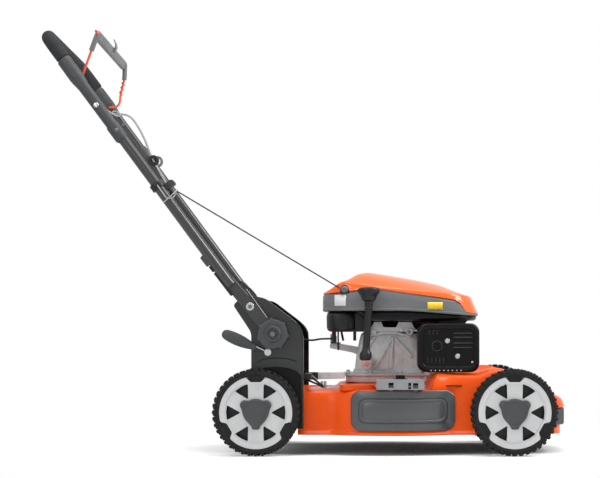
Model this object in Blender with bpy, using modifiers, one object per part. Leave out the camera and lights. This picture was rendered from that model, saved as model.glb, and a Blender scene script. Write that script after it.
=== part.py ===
"""Self-propelled lawn mower: pressed deck, upright-shaft engine, folding handle. Metres, +Z up, +X ahead."""
import bpy
import bmesh
from math import sin, cos, pi, radians, atan2
from mathutils import Vector, Matrix

# Clearances
GAP = 0.0003              # between neighbouring pieces
RUN = 0.001               # round a turning shaft

# Wheels
WHEEL_RADIUS = 0.105
WHEEL_WIDTH = 0.045
WHEEL_BASE = 0.620
HALF_TRACK = 0.270        # middle plane to a tyre's outer face
TYRE_DEPTH = 0.018
TYRE_LUGS = 30
LUG_DEPTH = 0.0035
NOTCH_DEPTH = 0.015       # three notches in the rim's edge, filled by the tyre
SPOKES = 6
CAP_PROUD = 0.004
AXLE_RADIUS = 0.007

# Deck
LIP_HEIGHT = 0.052
DECK_TOP = 0.158
DECK_WALL = 0.002
LIP_WIDTH = 0.008
DECK_REAR = 0.360         # crankshaft to the deck's rear wall
DECK_FRONT = 0.425        # crankshaft to the deck's nose
HOOD_RISE = 0.052         # the deck's front half stands this much higher
HOOD_STEP = 0.094         # crankshaft to the foot of that step
REAR_LIFT = 0.098         # the walls are cut away this far ahead of the rear axle
CRANK_SETBACK = 0.325     # rear axle to crankshaft
BLADE_CLEARANCE = 0.014
PLATFORM_RADIUS = 0.125
PLATFORM_TOP = 0.172
BUMPER_THICKNESS = 0.012
BUMPER_TOP = LIP_HEIGHT + 0.058

# Handle
HANDLE_PIVOT_AHEAD = 0.040
HANDLE_PIVOT_HEIGHT = 0.293
HANDLE_KINK = 0.170       # pivot to the slight bend
HANDLE_LENGTH = 0.905     # pivot to the crossbar's axis
HANDLE_LEAN = radians(36.4)
HANDLE_FOOT_LEAN = radians(40.5)
HANDLE_TUBE = 0.0125
HANDLE_CORNER = 0.042
FOOT_DEPTH = 0.020        # the handle's flat foot, across the mower
FOAM_THICKNESS = 0.0035
BAIL_LENGTH = 0.116
BAIL_PIVOT_BELOW = 0.134  # crossbar's axis to the bail's pivot, down the tube
BAIL_WIRE = 0.004
BAIL_GRIP = 0.0115
BAIL_LEAN = radians(18.6) # ahead of upright
ROPE_RADIUS = 0.002
CABLE_RADIUS = 0.003
KNOB_RADIUS = 0.037
KNOB_HEIGHT = 0.030

# Towers
TOWER_INSIDE_TYRE = 0.003 # between a rear tyre and its tower
TOWER_SHEET = 0.003

# Engine, measured from the crankshaft
BLOCK_RADIUS = 0.083
BLOCK_TOP = 0.300
SUMP_HEIGHT = 0.022
SUMP_CORNER = 0.095       # crankshaft to the base flange's sides
CYLINDER_REACH = 0.165
CYLINDER_HALF = 0.046
HEAD_THICKNESS = 0.030
SHROUD_REAR = 0.166
SHROUD_FRONT = 0.223
SHROUD_HALF_WIDTH = 0.165
SHROUD_BOTTOM = 0.350
SHROUD_WALL = 0.004
LIP_STRIP = 0.006         # the band's height under the cover's front lip
BAND_HEIGHT = 0.048
COVER_TOP = 0.450
TRAY_DEPTH = 0.030
FLYWHEEL_RADIUS = 0.095
TANK_DEPTH = 0.052
OIL_TUBE_RADIUS = 0.0095
GUARD_WIDTH = 0.152
GUARD_HEIGHT = 0.120
GUARD_DEPTH = 0.060
GUARD_SHEET = 0.0025

# Height setting
ARM_LENGTH = 0.075

# Side door
DOOR_BACK = 0.227         # rear axle to the door's rear edge
DOOR_WIDTH = 0.254
DOOR_THICKNESS = 0.010
DOOR_PANEL_RISE = 0.004
SPRING_WIRE = 0.0012
SPRING_RADIUS = 0.0062
SPRING_TURNS = 5

# Drive
GEARBOX_HALF_WIDTH = 0.050
CRANK_PULLEY_RADIUS = 0.022

# Places that follow from the sizes above
TOWER_OUTER = HALF_TRACK - WHEEL_WIDTH - TOWER_INSIDE_TYRE
DECK_HALF_WIDTH = TOWER_OUTER - 0.019
HANDLE_HALF_WIDTH = TOWER_OUTER + FOOT_DEPTH + 0.001
BLADE_RADIUS = HALF_TRACK - 0.035
HANDLE_DIR = Vector((-sin(HANDLE_LEAN), 0, cos(HANDLE_LEAN)))
FOOT_DIR = Vector((-sin(HANDLE_FOOT_LEAN), 0, cos(HANDLE_FOOT_LEAN)))
FRONT_REACH = CRANK_SETBACK + DECK_FRONT + BUMPER_THICKNESS
REAR_REACH = (HANDLE_KINK * sin(HANDLE_FOOT_LEAN) + (HANDLE_LENGTH - HANDLE_KINK) * sin(HANDLE_LEAN)
              + HANDLE_TUBE + FOAM_THICKNESS - HANDLE_PIVOT_AHEAD)
REAR_X = (REAR_REACH - FRONT_REACH) / 2
FRONT_X = REAR_X + WHEEL_BASE
CRANK_X = REAR_X + CRANK_SETBACK
RIM_RADIUS = WHEEL_RADIUS - TYRE_DEPTH
CHAMBER_RADIUS = BLADE_RADIUS + BLADE_CLEARANCE
SUMP_TOP = PLATFORM_TOP + GAP + SUMP_HEIGHT
PIVOT = Vector((REAR_X + HANDLE_PIVOT_AHEAD, 0, HANDLE_PIVOT_HEIGHT))
KINK = PIVOT + FOOT_DIR * HANDLE_KINK
HANDLE_END = KINK + HANDLE_DIR * (HANDLE_LENGTH - HANDLE_KINK)
BAIL_PIVOT = HANDLE_END - HANDLE_DIR * BAIL_PIVOT_BELOW
HANDLE_FRONT = Vector((cos(HANDLE_LEAN), 0, sin(HANDLE_LEAN)))

COLOURS = {
    "orange": ((0.86, 0.10, 0.01), 0.35, 0.0),
    "dark_sheet": ((0.045, 0.045, 0.045), 0.5, 0.0),
    "grey_plastic": ((0.16, 0.16, 0.16), 0.5, 0.0),
    "silver_plastic": ((0.58, 0.58, 0.58), 0.4, 0.0),
    "black_plastic": ((0.012, 0.012, 0.012), 0.5, 0.0),
    "rubber": ((0.014, 0.014, 0.014), 0.85, 0.0),
    "foam": ((0.03, 0.03, 0.03), 0.95, 0.0),
    "aluminium": ((0.42, 0.42, 0.42), 0.4, 1.0),
    "steel": ((0.5, 0.5, 0.5), 0.3, 1.0),
    "bail_red": ((0.75, 0.10, 0.03), 0.4, 0.0),
}

PARTS = None
CUTTERS = None


def clear_scene():
    for obj in list(bpy.data.objects):
        bpy.data.objects.remove(obj, do_unlink=True)


def make_collections():
    global PARTS, CUTTERS
    PARTS = bpy.data.collections.new("lawn_mower")
    CUTTERS = bpy.data.collections.new("cutters")
    bpy.context.scene.collection.children.link(PARTS)
    bpy.context.scene.collection.children.link(CUTTERS)


def finish_material(name, colour):
    tint, rough, metal = COLOURS[colour]
    mat = bpy.data.materials.new(name + "_finish")
    mat.use_nodes = True
    shader = mat.node_tree.nodes["Principled BSDF"]
    shader.inputs["Base Color"].default_value = (*tint, 1)
    shader.inputs["Roughness"].default_value = rough
    shader.inputs["Metallic"].default_value = metal
    return mat


def part(name, data, colour, bevel=0.0, sharp=35):
    """One named piece from a mesh or curve that is drawn in world coordinates."""
    obj = bpy.data.objects.new(name, data)
    PARTS.objects.link(obj)
    data.materials.append(finish_material(name, colour))
    if isinstance(data, bpy.types.Mesh):
        data.shade_smooth()
        data.set_sharp_from_angle(angle=radians(sharp))
    if bevel:
        mod = obj.modifiers.new("edges", "BEVEL")
        mod.width = bevel
        mod.segments = 1
        mod.limit_method = "ANGLE"
        mod.angle_limit = radians(40)
    return obj


def tool(data, name="cutter"):
    """A cutter, kept out of the model."""
    obj = bpy.data.objects.new(name, data)
    CUTTERS.objects.link(obj)
    obj.hide_render = True
    obj.display_type = "WIRE"
    return obj


def boolean(obj, other, operation):
    mod = obj.modifiers.new(operation.lower(), "BOOLEAN")
    mod.operation = operation
    mod.object = other
    mod.solver = "EXACT"
    return obj


def cut(obj, data):
    return boolean(obj, tool(data), "DIFFERENCE")


def weld(obj, data):
    return boolean(obj, tool(data, "joined"), "UNION")


def mesh_from(bm, name="form"):
    bmesh.ops.recalc_face_normals(bm, faces=bm.faces)
    mesh = bpy.data.meshes.new(name)
    bm.to_mesh(mesh)
    bm.free()
    return mesh


def block(low, high, bevel=0.0, segments=1):
    """A box between two corners, its edges rounded by bevel."""
    bm = bmesh.new()
    low, high = Vector(low), Vector(high)
    size, middle = high - low, (low + high) / 2
    bmesh.ops.create_cube(bm, size=1, matrix=Matrix.Translation(middle) @ Matrix.Diagonal((*size, 1)))
    if bevel:
        bmesh.ops.bevel(bm, geom=list(bm.edges), offset=bevel, segments=segments, affect="EDGES")
    return mesh_from(bm)


def rod(start, end, radius, segments=16, end_radius=None):
    """A round bar or cone between two points."""
    start, end = Vector(start), Vector(end)
    turn = (end - start).to_track_quat("Z", "Y").to_matrix().to_4x4()
    bm = bmesh.new()
    bmesh.ops.create_cone(bm, cap_ends=True, segments=segments, radius1=radius,
                          radius2=radius if end_radius is None else end_radius,
                          depth=(end - start).length,
                          matrix=Matrix.Translation((start + end) / 2) @ turn)
    return mesh_from(bm)


def prism(outline, low, high, axis="Y", bevel=0.0):
    """A flat outline pushed from low to high: (x, z) along Y, (x, y) along Z or (y, z) along X."""
    place = {"Y": lambda a, b, h: (a, h, b), "Z": lambda a, b, h: (a, b, h), "X": lambda a, b,
             h: (h, a, b)}[axis]
    bm = bmesh.new()
    base = bm.faces.new([bm.verts.new(place(a, b, low)) for a, b in outline])
    top = bmesh.ops.extrude_face_region(bm, geom=[base])
    shift = Vector(place(0, 0, high)) - Vector(place(0, 0, low))
    bmesh.ops.translate(bm, verts=[v for v in top["geom"] if isinstance(v, bmesh.types.BMVert)], vec=shift)
    if bevel:
        ring = [e for e in bm.edges if abs(e.verts[0].co[{"X": 0, "Y": 1, "Z": 2}[axis]]
                                           - e.verts[1].co[{"X": 0, "Y": 1, "Z": 2}[axis]]) < 1e-7]
        bmesh.ops.bevel(bm, geom=ring, offset=bevel, segments=1, affect="EDGES")
    return mesh_from(bm)


def rounded(corners, steps=4):
    """An outline from (a, b, radius) corners, each rounded by an arc."""
    points = []
    count = len(corners)
    for i, (a, b, radius) in enumerate(corners):
        here = Vector((a, b))
        back = (Vector(corners[i - 1][:2]) - here)
        ahead = (Vector(corners[(i + 1) % count][:2]) - here)
        if radius <= 0:
            points.append((a, b))
            continue
        half = back.angle(ahead) / 2
        reach = min(radius / max(0.05, abs(sin(half) / cos(half))), back.length * 0.48, ahead.length * 0.48)
        first, last = here + back.normalized() * reach, here + ahead.normalized() * reach
        for k in range(steps + 1):
            t = k / steps
            spot = first * (1 - t) ** 2 + here * 2 * t * (1 - t) + last * t ** 2
            points.append((spot.x, spot.y))
    return points


def ring_loft(rings, loop=False, cap_first=False, cap_last=False):
    """Skin rings of equal point count; loop joins the last ring to the first."""
    bm = bmesh.new()
    rows = [[bm.verts.new(p) for p in ring] for ring in rings]
    pairs = list(zip(rows, rows[1:]))
    if loop:
        pairs.append((rows[-1], rows[0]))
    for low, high in pairs:
        for i in range(len(low)):
            j = (i + 1) % len(low)
            bm.faces.new((low[i], low[j], high[j], high[i]))
    if cap_first:
        bm.faces.new(rows[0])
    if cap_last:
        bm.faces.new(rows[-1])
    return mesh_from(bm)


def lathe(name, profile, origin, colour, axis="Z", steps=24, angle=2 * pi):
    """A turned piece: (radius, height) points, outer side from top to bottom."""
    bm = bmesh.new()
    verts = [bm.verts.new((r, 0, h)) for r, h in profile]
    for a, b in zip(verts, verts[1:]):
        bm.edges.new((a, b))
    if profile[0][0] > 1e-6:
        bm.edges.new((verts[-1], verts[0]))
    mesh = bpy.data.meshes.new(name)
    bm.to_mesh(mesh)
    bm.free()
    obj = part(name, mesh, colour)
    screw = obj.modifiers.new("turn", "SCREW")
    screw.axis = "Z"
    screw.angle = angle
    screw.steps = steps
    screw.render_steps = steps
    screw.use_merge_vertices = True
    screw.merge_threshold = 0.00001
    obj.location = origin
    if axis == "Y":
        obj.rotation_euler = (-pi / 2, 0, 0)
    if axis == "X":
        obj.rotation_euler = (0, pi / 2, 0)
    return obj


def spline_points(points, step):
    """Points about one step apart on a smooth curve through the given points."""
    points = [Vector(p) for p in points]
    padded = [points[0] * 2 - points[1]] + points + [points[-1] * 2 - points[-2]]
    result = [points[0]]
    for a, b, c, d in zip(padded, padded[1:], padded[2:], padded[3:]):
        pieces = max(1, round((c - b).length / step))
        for k in range(1, pieces + 1):
            t = k / pieces
            result.append(0.5 * (2 * b + (c - a) * t + (2 * a - 5 * b + 4 * c - d) * t * t
                                 + (3 * b - a - 3 * c + d) * t ** 3))
    return result


def wire_curve(points, radius, resolution=2, cyclic=False):
    """A round wire through every point, with filled ends."""
    curve = bpy.data.curves.new("wire", "CURVE")
    curve.dimensions = "3D"
    curve.bevel_depth = radius
    curve.bevel_resolution = resolution
    curve.use_fill_caps = not cyclic
    spline = curve.splines.new("POLY")
    spline.points.add(len(points) - 1)
    for spot, p in zip(spline.points, points):
        spot.co = (*p, 1)
    spline.use_cyclic_u = cyclic
    return curve


def wire_mesh(points, radius, resolution=2, cyclic=False):
    """The same wire as a closed mesh, ready to be cut or joined."""
    obj = bpy.data.objects.new("wire", wire_curve(points, radius, resolution, cyclic))
    bpy.context.scene.collection.objects.link(obj)
    graph = bpy.context.evaluated_depsgraph_get()
    mesh = bpy.data.meshes.new_from_object(obj.evaluated_get(graph))
    bpy.data.objects.remove(obj, do_unlink=True)
    bm = bmesh.new()
    bm.from_mesh(mesh)
    bmesh.ops.remove_doubles(bm, verts=bm.verts, dist=0.00002)
    return mesh_from(bm)


def bend(points, radius, steps=4):
    """A bar's path with rounded corners in space."""
    points = [Vector(p) for p in points]
    result = [points[0]]
    for a, b, c in zip(points, points[1:], points[2:]):
        back, ahead = a - b, c - b
        reach = min(radius, back.length * 0.48, ahead.length * 0.48)
        first, last = b + back.normalized() * reach, b + ahead.normalized() * reach
        for k in range(steps + 1):
            t = k / steps
            result.append(first * (1 - t) ** 2 + b * 2 * t * (1 - t) + last * t ** 2)
    result.append(points[-1])
    return result


def smooth_step(low, high, value):
    t = min(1.0, max(0.0, (value - low) / (high - low)))
    return t * t * (3 - 2 * t)


# Wheels

def rim_outline(extra=0.0, steps=TYRE_LUGS):
    """(radius, angle) round a rim's edge, with its three notches; odd half steps lie on the chords."""
    notches = (pi / 2, pi * 7 / 6, pi * 11 / 6)
    main = []
    for i in range(TYRE_LUGS):
        angle = 2 * pi * i / TYRE_LUGS
        near = min(abs((angle - n + pi) % (2 * pi) - pi) for n in notches)
        depth = NOTCH_DEPTH if near < radians(11) else 0.0
        main.append(Vector((cos(angle), sin(angle))) * (RIM_RADIUS - depth + extra))
    if steps == TYRE_LUGS:
        return main
    return [p for a, b in zip(main, main[1:] + main[:1]) for p in (a, (a + b) / 2)]


def wheel_y(side, out):
    """World y of a point this far outboard of a wheel's inner face."""
    return side * (HALF_TRACK - WHEEL_WIDTH + out)


def make_tyre(name, hub, side):
    seat = rim_outline(GAP, TYRE_LUGS * 2)
    rings = []
    for i, inner in enumerate(seat):
        way = inner.normalized()
        lug = LUG_DEPTH if i % 2 else 0
        tread = WHEEL_RADIUS - LUG_DEPTH + lug
        shoulder = WHEEL_RADIUS - TYRE_DEPTH * 0.28 - LUG_DEPTH + lug
        bulge = 0.0 if lug else 0.0015
        section = ((inner.length, 0.003), (shoulder, bulge), (tread, 0.008), (tread, WHEEL_WIDTH - 0.008),
                   (shoulder, WHEEL_WIDTH - bulge), (inner.length, WHEEL_WIDTH - 0.004))
        rings.append([Vector((hub.x + way.x * r, wheel_y(side, y), hub.z + way.y * r)) for r, y in section])
    return part(name, ring_loft(rings, loop=True), "rubber", sharp=25)


def window_cutter(hub, side):
    """Six rounded triangles between the spokes, as one cutter."""
    bm = bmesh.new()
    inner, outer, half = 0.037, RIM_RADIUS - 0.0195, 0.0165
    outline = rounded([(inner, 0, 0.004), (outer, -half, 0.004), (outer, half, 0.004)], 1)
    for k in range(SPOKES):
        turn = 2 * pi * k / SPOKES
        spin = [(a * cos(turn) - b * sin(turn), a * sin(turn) + b * cos(turn)) for a, b in outline]
        low, high = sorted((wheel_y(side, 0.025), wheel_y(side, WHEEL_WIDTH + 0.01)))
        mesh = prism([(hub.x + a, hub.z + b) for a, b in spin], low, high)
        bm.from_mesh(mesh)
        bpy.data.meshes.remove(mesh)
    return mesh_from(bm, "windows")


def ring_tool(hub, side, inner, outer, low, high):
    """A square-edged ring about the axle, between two distances outboard of the wheel's inner face."""
    rings = []
    for k in range(TYRE_LUGS):
        a = 2 * pi * k / TYRE_LUGS
        rings.append([Vector((hub.x + r * cos(a), wheel_y(side, y), hub.z + r * sin(a)))
                      for r, y in ((inner, low), (outer, low), (outer, high), (inner, high))])
    return ring_loft(rings, loop=True)


def make_rim(name, hub, side):
    """A barrel with a flat pierced web at its outer face and a hub tube inside."""
    face = WHEEL_WIDTH - 0.0035
    rings = []
    for sink, y in ((0, 0.004), (0, face - 0.002), (0.007, face)):
        rings.append([Vector((hub.x + p.x * (1 - sink / RIM_RADIUS), wheel_y(side, y), hub.z
                              + p.y * (1 - sink / RIM_RADIUS))) for p in rim_outline()])
    rim = part(name, ring_loft(rings, cap_first=True, cap_last=True), "silver_plastic", sharp=30)
    cut(rim, ring_tool(hub, side, 0.020, RIM_RADIUS - 0.019, -0.01, face - 0.006))
    cut(rim, window_cutter(hub, side))
    inner, outer = Vector((hub.x, wheel_y(side, -0.01), hub.z)), Vector((hub.x, wheel_y(side, 0.06), hub.z))
    return cut(rim, rod(inner, outer, AXLE_RADIUS + RUN, 16))


def make_hub_cap(name, hub, side):
    """A bare shield-shaped cap: two lobes above, a narrow foot below."""
    half = [(0.0094, 0.0322), (0.0173, 0.0285), (0.0277, 0.0298), (0.0356, 0.0255), (0.0368, 0.0165),
            (0.0306, -0.0052), (0.0247, -0.0170), (0.0158, -0.0269), (0.0109, -0.0328), (0.0070, -0.0380)]
    outline = half + [(-a, b) for a, b in reversed(half)]
    low, high = sorted((wheel_y(side, WHEEL_WIDTH - 0.0035 + GAP), wheel_y(side, WHEEL_WIDTH + CAP_PROUD)))
    mesh = prism([(hub.x + a, hub.z + b) for a, b in outline], low, high)
    return part(name, mesh, "grey_plastic", bevel=0.002)


def make_wheels():
    for end, x in (("rear", REAR_X), ("front", FRONT_X)):
        for label, side in (("right", -1), ("left", 1)):
            hub = Vector((x, 0, WHEEL_RADIUS))
            tag = end + "_" + label
            make_tyre("tyre_" + tag, hub, side)
            make_rim("rim_" + tag, hub, side)
            make_hub_cap("hub_cap_" + tag, hub, side)


# Axles with their swinging arms

ARM_RISE = radians(10)
ARM_Y = DECK_HALF_WIDTH - 0.014
REAR_ARM = Vector((REAR_X + ARM_LENGTH * cos(ARM_RISE), 0, WHEEL_RADIUS - ARM_LENGTH * sin(ARM_RISE)))
FRONT_ARM = Vector((FRONT_X - ARM_LENGTH * cos(ARM_RISE), 0, WHEEL_RADIUS - ARM_LENGTH * sin(ARM_RISE)))


def make_axle(name, x, pivot, pin_end):
    """A through bar with two arms, each with a pin that turns in its bracket."""
    hub = Vector((x, 0, WHEEL_RADIUS))
    reach = HALF_TRACK - 0.0035 - GAP
    axle = part(name, rod(hub + Vector((0, -reach, 0)), hub + Vector((0, reach, 0)), AXLE_RADIUS, 12),
                "steel")
    way = (pivot - hub).normalized()
    across = Vector((way.z, 0, -way.x)) * 0.011
    for side in (-1, 1):
        low, high = sorted((side * ARM_Y, side * (ARM_Y - 0.006)))
        ends = (hub - way * 0.012, pivot + way * 0.011)
        outline = [(ends[0] - across), (ends[1] - across), (ends[1] + across), (ends[0] + across)]
        weld(axle, prism([(p.x, p.z) for p in outline], low, high))
        pin = Vector((pivot.x, side * (ARM_Y - 0.004), pivot.z)), Vector((pivot.x, side * pin_end, pivot.z))
        weld(axle, rod(*pin, 0.006, 8))
    return axle


# Deck

OUTLINE_POINTS = 48
DECK_SQUARE = 6           # squareness of the deck's ends, as a superellipse
ROOF_SPAN = 0.022


def deck_radius(angle):
    """From the crankshaft to the deck's wall: the blade's circle grown into a squarish box."""
    c, s = cos(angle), sin(angle)
    length = DECK_FRONT if c > 0 else DECK_REAR
    square = (abs(c / length) ** DECK_SQUARE + abs(s / DECK_HALF_WIDTH) ** DECK_SQUARE) ** (-1 / DECK_SQUARE)
    blend = 60
    return (square ** blend + CHAMBER_RADIUS ** blend) ** (1 / blend)


def deck_angles(count):
    """Even steps, with two more on each side where the hood's step rises."""
    even = [2 * pi * (i + 0.5) / count for i in range(count)]
    step = [atan2((CHAMBER_RADIUS ** 2 - x ** 2) ** 0.5, x) for x in (HOOD_STEP, HOOD_STEP + 0.008)]
    return sorted(even + step + [2 * pi - a for a in step])


def deck_outline(offset=0.0, count=OUTLINE_POINTS):
    """Points round the deck's wall, moved outwards by offset."""
    points = []
    for angle in deck_angles(count):
        e = 1e-4
        here = Vector((cos(angle), sin(angle))) * deck_radius(angle)
        ahead = Vector((cos(angle + e), sin(angle + e))) * deck_radius(angle + e)
        run = (ahead - here).normalized()
        points.append(Vector((CRANK_X, 0)) + here + Vector((run.y, -run.x)) * offset)
    return points


def deck_top(x):
    """Height of the deck's roof edge: flat, then a raised hood at the front wheels, then the nose."""
    ahead = x - CRANK_X
    rise = HOOD_RISE * (0.72 * smooth_step(HOOD_STEP, HOOD_STEP + 0.008, ahead) + 0.28 * smooth_step(0.21,
                                                                                                     0.25,
                                                                                                     ahead))
    fall = (HOOD_RISE + 0.022) * smooth_step(0.25, DECK_FRONT + 0.02, ahead)
    return DECK_TOP + rise - fall


def deck_ring(offset, share, ledge):
    """The deck's wall at one height. The nose above the bumper stands out by ledge, to be flush with it."""
    ring = []
    for p, proud in zip(deck_outline(offset), deck_outline(offset + ledge)):
        q = proud if p.x > CRANK_X + DECK_FRONT * 0.86 else p
        ring.append(Vector((q.x, q.y, LIP_HEIGHT + (deck_top(p.x) - LIP_HEIGHT) * share)))
    return ring


def level_deck_ring(height, ledge):
    ring = deck_ring(0, 0, ledge)
    for p in ring:
        p.z = height
    return ring


def make_deck():
    ledge = BUMPER_THICKNESS - 0.001
    rings = [deck_ring(LIP_WIDTH, 0.0, 0), deck_ring(0, 0.02, 0), level_deck_ring(BUMPER_TOP + 0.001, 0),
             level_deck_ring(BUMPER_TOP + 0.005, ledge),
             deck_ring(-0.003, 0.80, ledge), deck_ring(-0.009, 0.94, ledge), deck_ring(-ROOF_SPAN, 1.0, ledge)]
    rings.append([Vector((p.x, p.y, high.z)) for p, high in zip(deck_outline(-0.045), rings[-1])])
    for radius, height in ((PLATFORM_RADIUS + 0.014, DECK_TOP + 0.003), (PLATFORM_RADIUS, PLATFORM_TOP),
                           (0.032, PLATFORM_TOP)):
        rings.append([Vector((CRANK_X + radius * cos(a), radius * sin(a), height))
                      for a in deck_angles(OUTLINE_POINTS)])
    deck = part("deck_shell", ring_loft(rings), "orange", sharp=40)
    shell = deck.modifiers.new("sheet", "SOLIDIFY")
    shell.thickness = DECK_WALL
    shell.offset = -1
    weld(deck, chamber_wall())
    cut(deck, block((REAR_X - 0.1, -0.3, 0), (REAR_X + REAR_LIFT, 0.3, DECK_TOP - 0.020)))
    for side in (-1, 1):
        cut(deck, axle_slot(side))
        pin = Vector((FRONT_ARM.x, side * 0.15, FRONT_ARM.z)), Vector((FRONT_ARM.x, side * 0.23,
                                                                       FRONT_ARM.z))
        cut(deck, rod(*pin, 0.006 + GAP * 2, 12))
    cut(deck, block((REAR_X + DOOR_BACK + 0.045, -CHAMBER_RADIUS - 0.02, LIP_HEIGHT + 0.022),
                    (REAR_X + DOOR_BACK + DOOR_WIDTH - 0.045, -DECK_HALF_WIDTH + 0.01, DECK_TOP - 0.030)))
    return deck


def chamber_wall():
    """The blade chamber's rear wall, an arc from side to side that the belt passes over."""
    first, last, steps = radians(122), radians(238), 12
    outer, inner = CHAMBER_RADIUS + 0.0005, CHAMBER_RADIUS - DECK_WALL - 0.002
    arc = [first + (last - first) * k / steps for k in range(steps + 1)]
    outline = ([(CRANK_X + outer * cos(a), outer * sin(a)) for a in arc]
               + [(CRANK_X + inner * cos(a), inner * sin(a)) for a in reversed(arc)])
    return prism(outline, LIP_HEIGHT + 0.0015, BELT_LEVEL - PULLEY_HALF, "Z")


def axle_slot(side):
    low, high = sorted((side * (DECK_HALF_WIDTH - 0.053), side * (DECK_HALF_WIDTH + 0.037)))
    return block((FRONT_X - 0.013, low, LIP_HEIGHT - 0.01), (FRONT_X + 0.013, high, WHEEL_RADIUS + 0.011))


def make_bumper():
    """A grey strip round the nose, a constant gap outside the deck's wall."""
    inner = [p for p in deck_outline(GAP) if p.x > CRANK_X + DECK_FRONT * 0.86]
    outer = [p for p in deck_outline(BUMPER_THICKNESS) if p.x > CRANK_X + DECK_FRONT * 0.86]
    inner.sort(key=lambda p: p.y)
    outer.sort(key=lambda p: p.y)
    outline = [tuple(p) for p in inner] + [tuple(p) for p in reversed(outer)]
    return part("front_bumper", prism(outline, LIP_HEIGHT + 0.018, BUMPER_TOP, "Z"),
                "grey_plastic", bevel=0.003)


# Handle towers

TOWER_INNER = DECK_HALF_WIDTH + 0.0012
LEVER_BOLT = PIVOT + Vector((-0.013, 0, -0.044))


def at_rear(points):
    """Outline corners measured from the rear axle, moved to their place."""
    return [(REAR_X + x, *rest) for x, *rest in points]


def inset(outline, distance):
    """The same outline moved inwards, point by point along the corner's own normal."""
    area = sum(a[0] * b[1] - b[0] * a[1] for a, b in zip(outline, outline[1:] + outline[:1]))
    turn = 1 if area > 0 else -1
    result = []
    for i, spot in enumerate(outline):
        here = Vector(spot[:2])
        back = (here - Vector(outline[i - 1][:2])).normalized()
        ahead = (Vector(outline[(i + 1) % len(outline)][:2]) - here).normalized()
        normal = Vector((-(back.y + ahead.y), back.x + ahead.x)).normalized() * turn
        reach = distance / max(0.5, normal.dot(Vector((-back.y, back.x)) * turn))
        result.append(tuple(here + normal * reach))
    return result


def pan(name, outline, opening, face, sheet, colour, bevel):
    """A pressed cover: a flat face at one level with side walls down to its open back."""
    side = 1 if face > opening else -1
    low, high = sorted((opening, face))
    cover = part(name, prism(outline, low, high, bevel=bevel), colour, sharp=30)
    low, high = sorted((opening - side * 0.01, face - side * sheet))
    return cut(cover, prism(inset(outline, sheet), low, high))


def make_tower(name, side):
    """A pressed plate with flanged edges that carries the handle; its rear is open above the axle."""
    top = HANDLE_PIVOT_HEIGHT
    outline = rounded(at_rear([(-0.056, top + 0.079, 0.014), (-0.013, top + 0.009, 0.03),
                               (-0.015, 0.150, 0.004), (0.046, 0.150, 0.010),
                               (0.057, 0.062, 0.006), (0.114, 0.062, 0.006), (0.114, top - 0.006, 0.035),
                               (0.030, top + 0.084, 0.022), (-0.018, top + 0.101, 0.018)]), 2)
    tower = pan(name, outline, side * TOWER_INNER, side * TOWER_OUTER, TOWER_SHEET, "dark_sheet", 0.0015)
    well = rounded(at_rear([(0.004, 0.140, 0.003), (0.006, 0.222, 0.012), (0.030, 0.231, 0.010),
                            (0.086, 0.226, 0.012), (0.098, 0.196, 0.010), (0.098, 0.160, 0.003)]), 2)
    low, high = sorted((side * (TOWER_OUTER - 0.0012), side * (TOWER_OUTER + 0.01)))
    cut(tower, prism(well, low, high))
    for spot, radius in ((REAR_ARM, 0.006), (PIVOT, 0.004)):
        hole = [Vector((spot.x, side * (TOWER_OUTER + over), spot.z)) for over in (-0.022, 0.018)]
        cut(tower, rod(*hole, radius + GAP * 2, 12))
    return tower


def make_tower_brace():
    """The bar from the right tower's front edge, slantwise, to the engine's base."""
    rear, front = REAR_X + 0.114 + GAP, CRANK_X - SUMP_CORNER - 0.012 - GAP
    outline = [(rear, -0.220), (front, -0.060), (front, -0.043), (rear, -0.206)]
    return part("tower_brace", prism(outline, PLATFORM_TOP + 0.003, PLATFORM_TOP + 0.019, "Z"),
                "dark_sheet")


# Side door

DOOR_AXIS = Vector((0, -(CHAMBER_RADIUS + 0.006), DECK_TOP + 0.0095))
DOOR_LOW = LIP_HEIGHT + 0.007
DOOR_HIGH = DECK_TOP - 0.001
ROD_RADIUS = 0.0025


def wall_band(inner, outer, low, high, first, last):
    """A stretch of the near side wall's outline, from one offset to another, between two heights."""
    strip = []
    for offset in (inner, outer):
        row = [p for p in deck_outline(offset) if p.y < 0 and first - 0.04 < p.x < last + 0.04]
        strip.append(sorted(row, key=lambda p: p.x))
    outline = [tuple(p) for p in strip[0]] + [tuple(p) for p in reversed(strip[1])]
    return prism(outline, low, high, "Z")


def keep_inside(obj, data):
    return boolean(obj, tool(data, "frame"), "INTERSECT")


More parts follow.
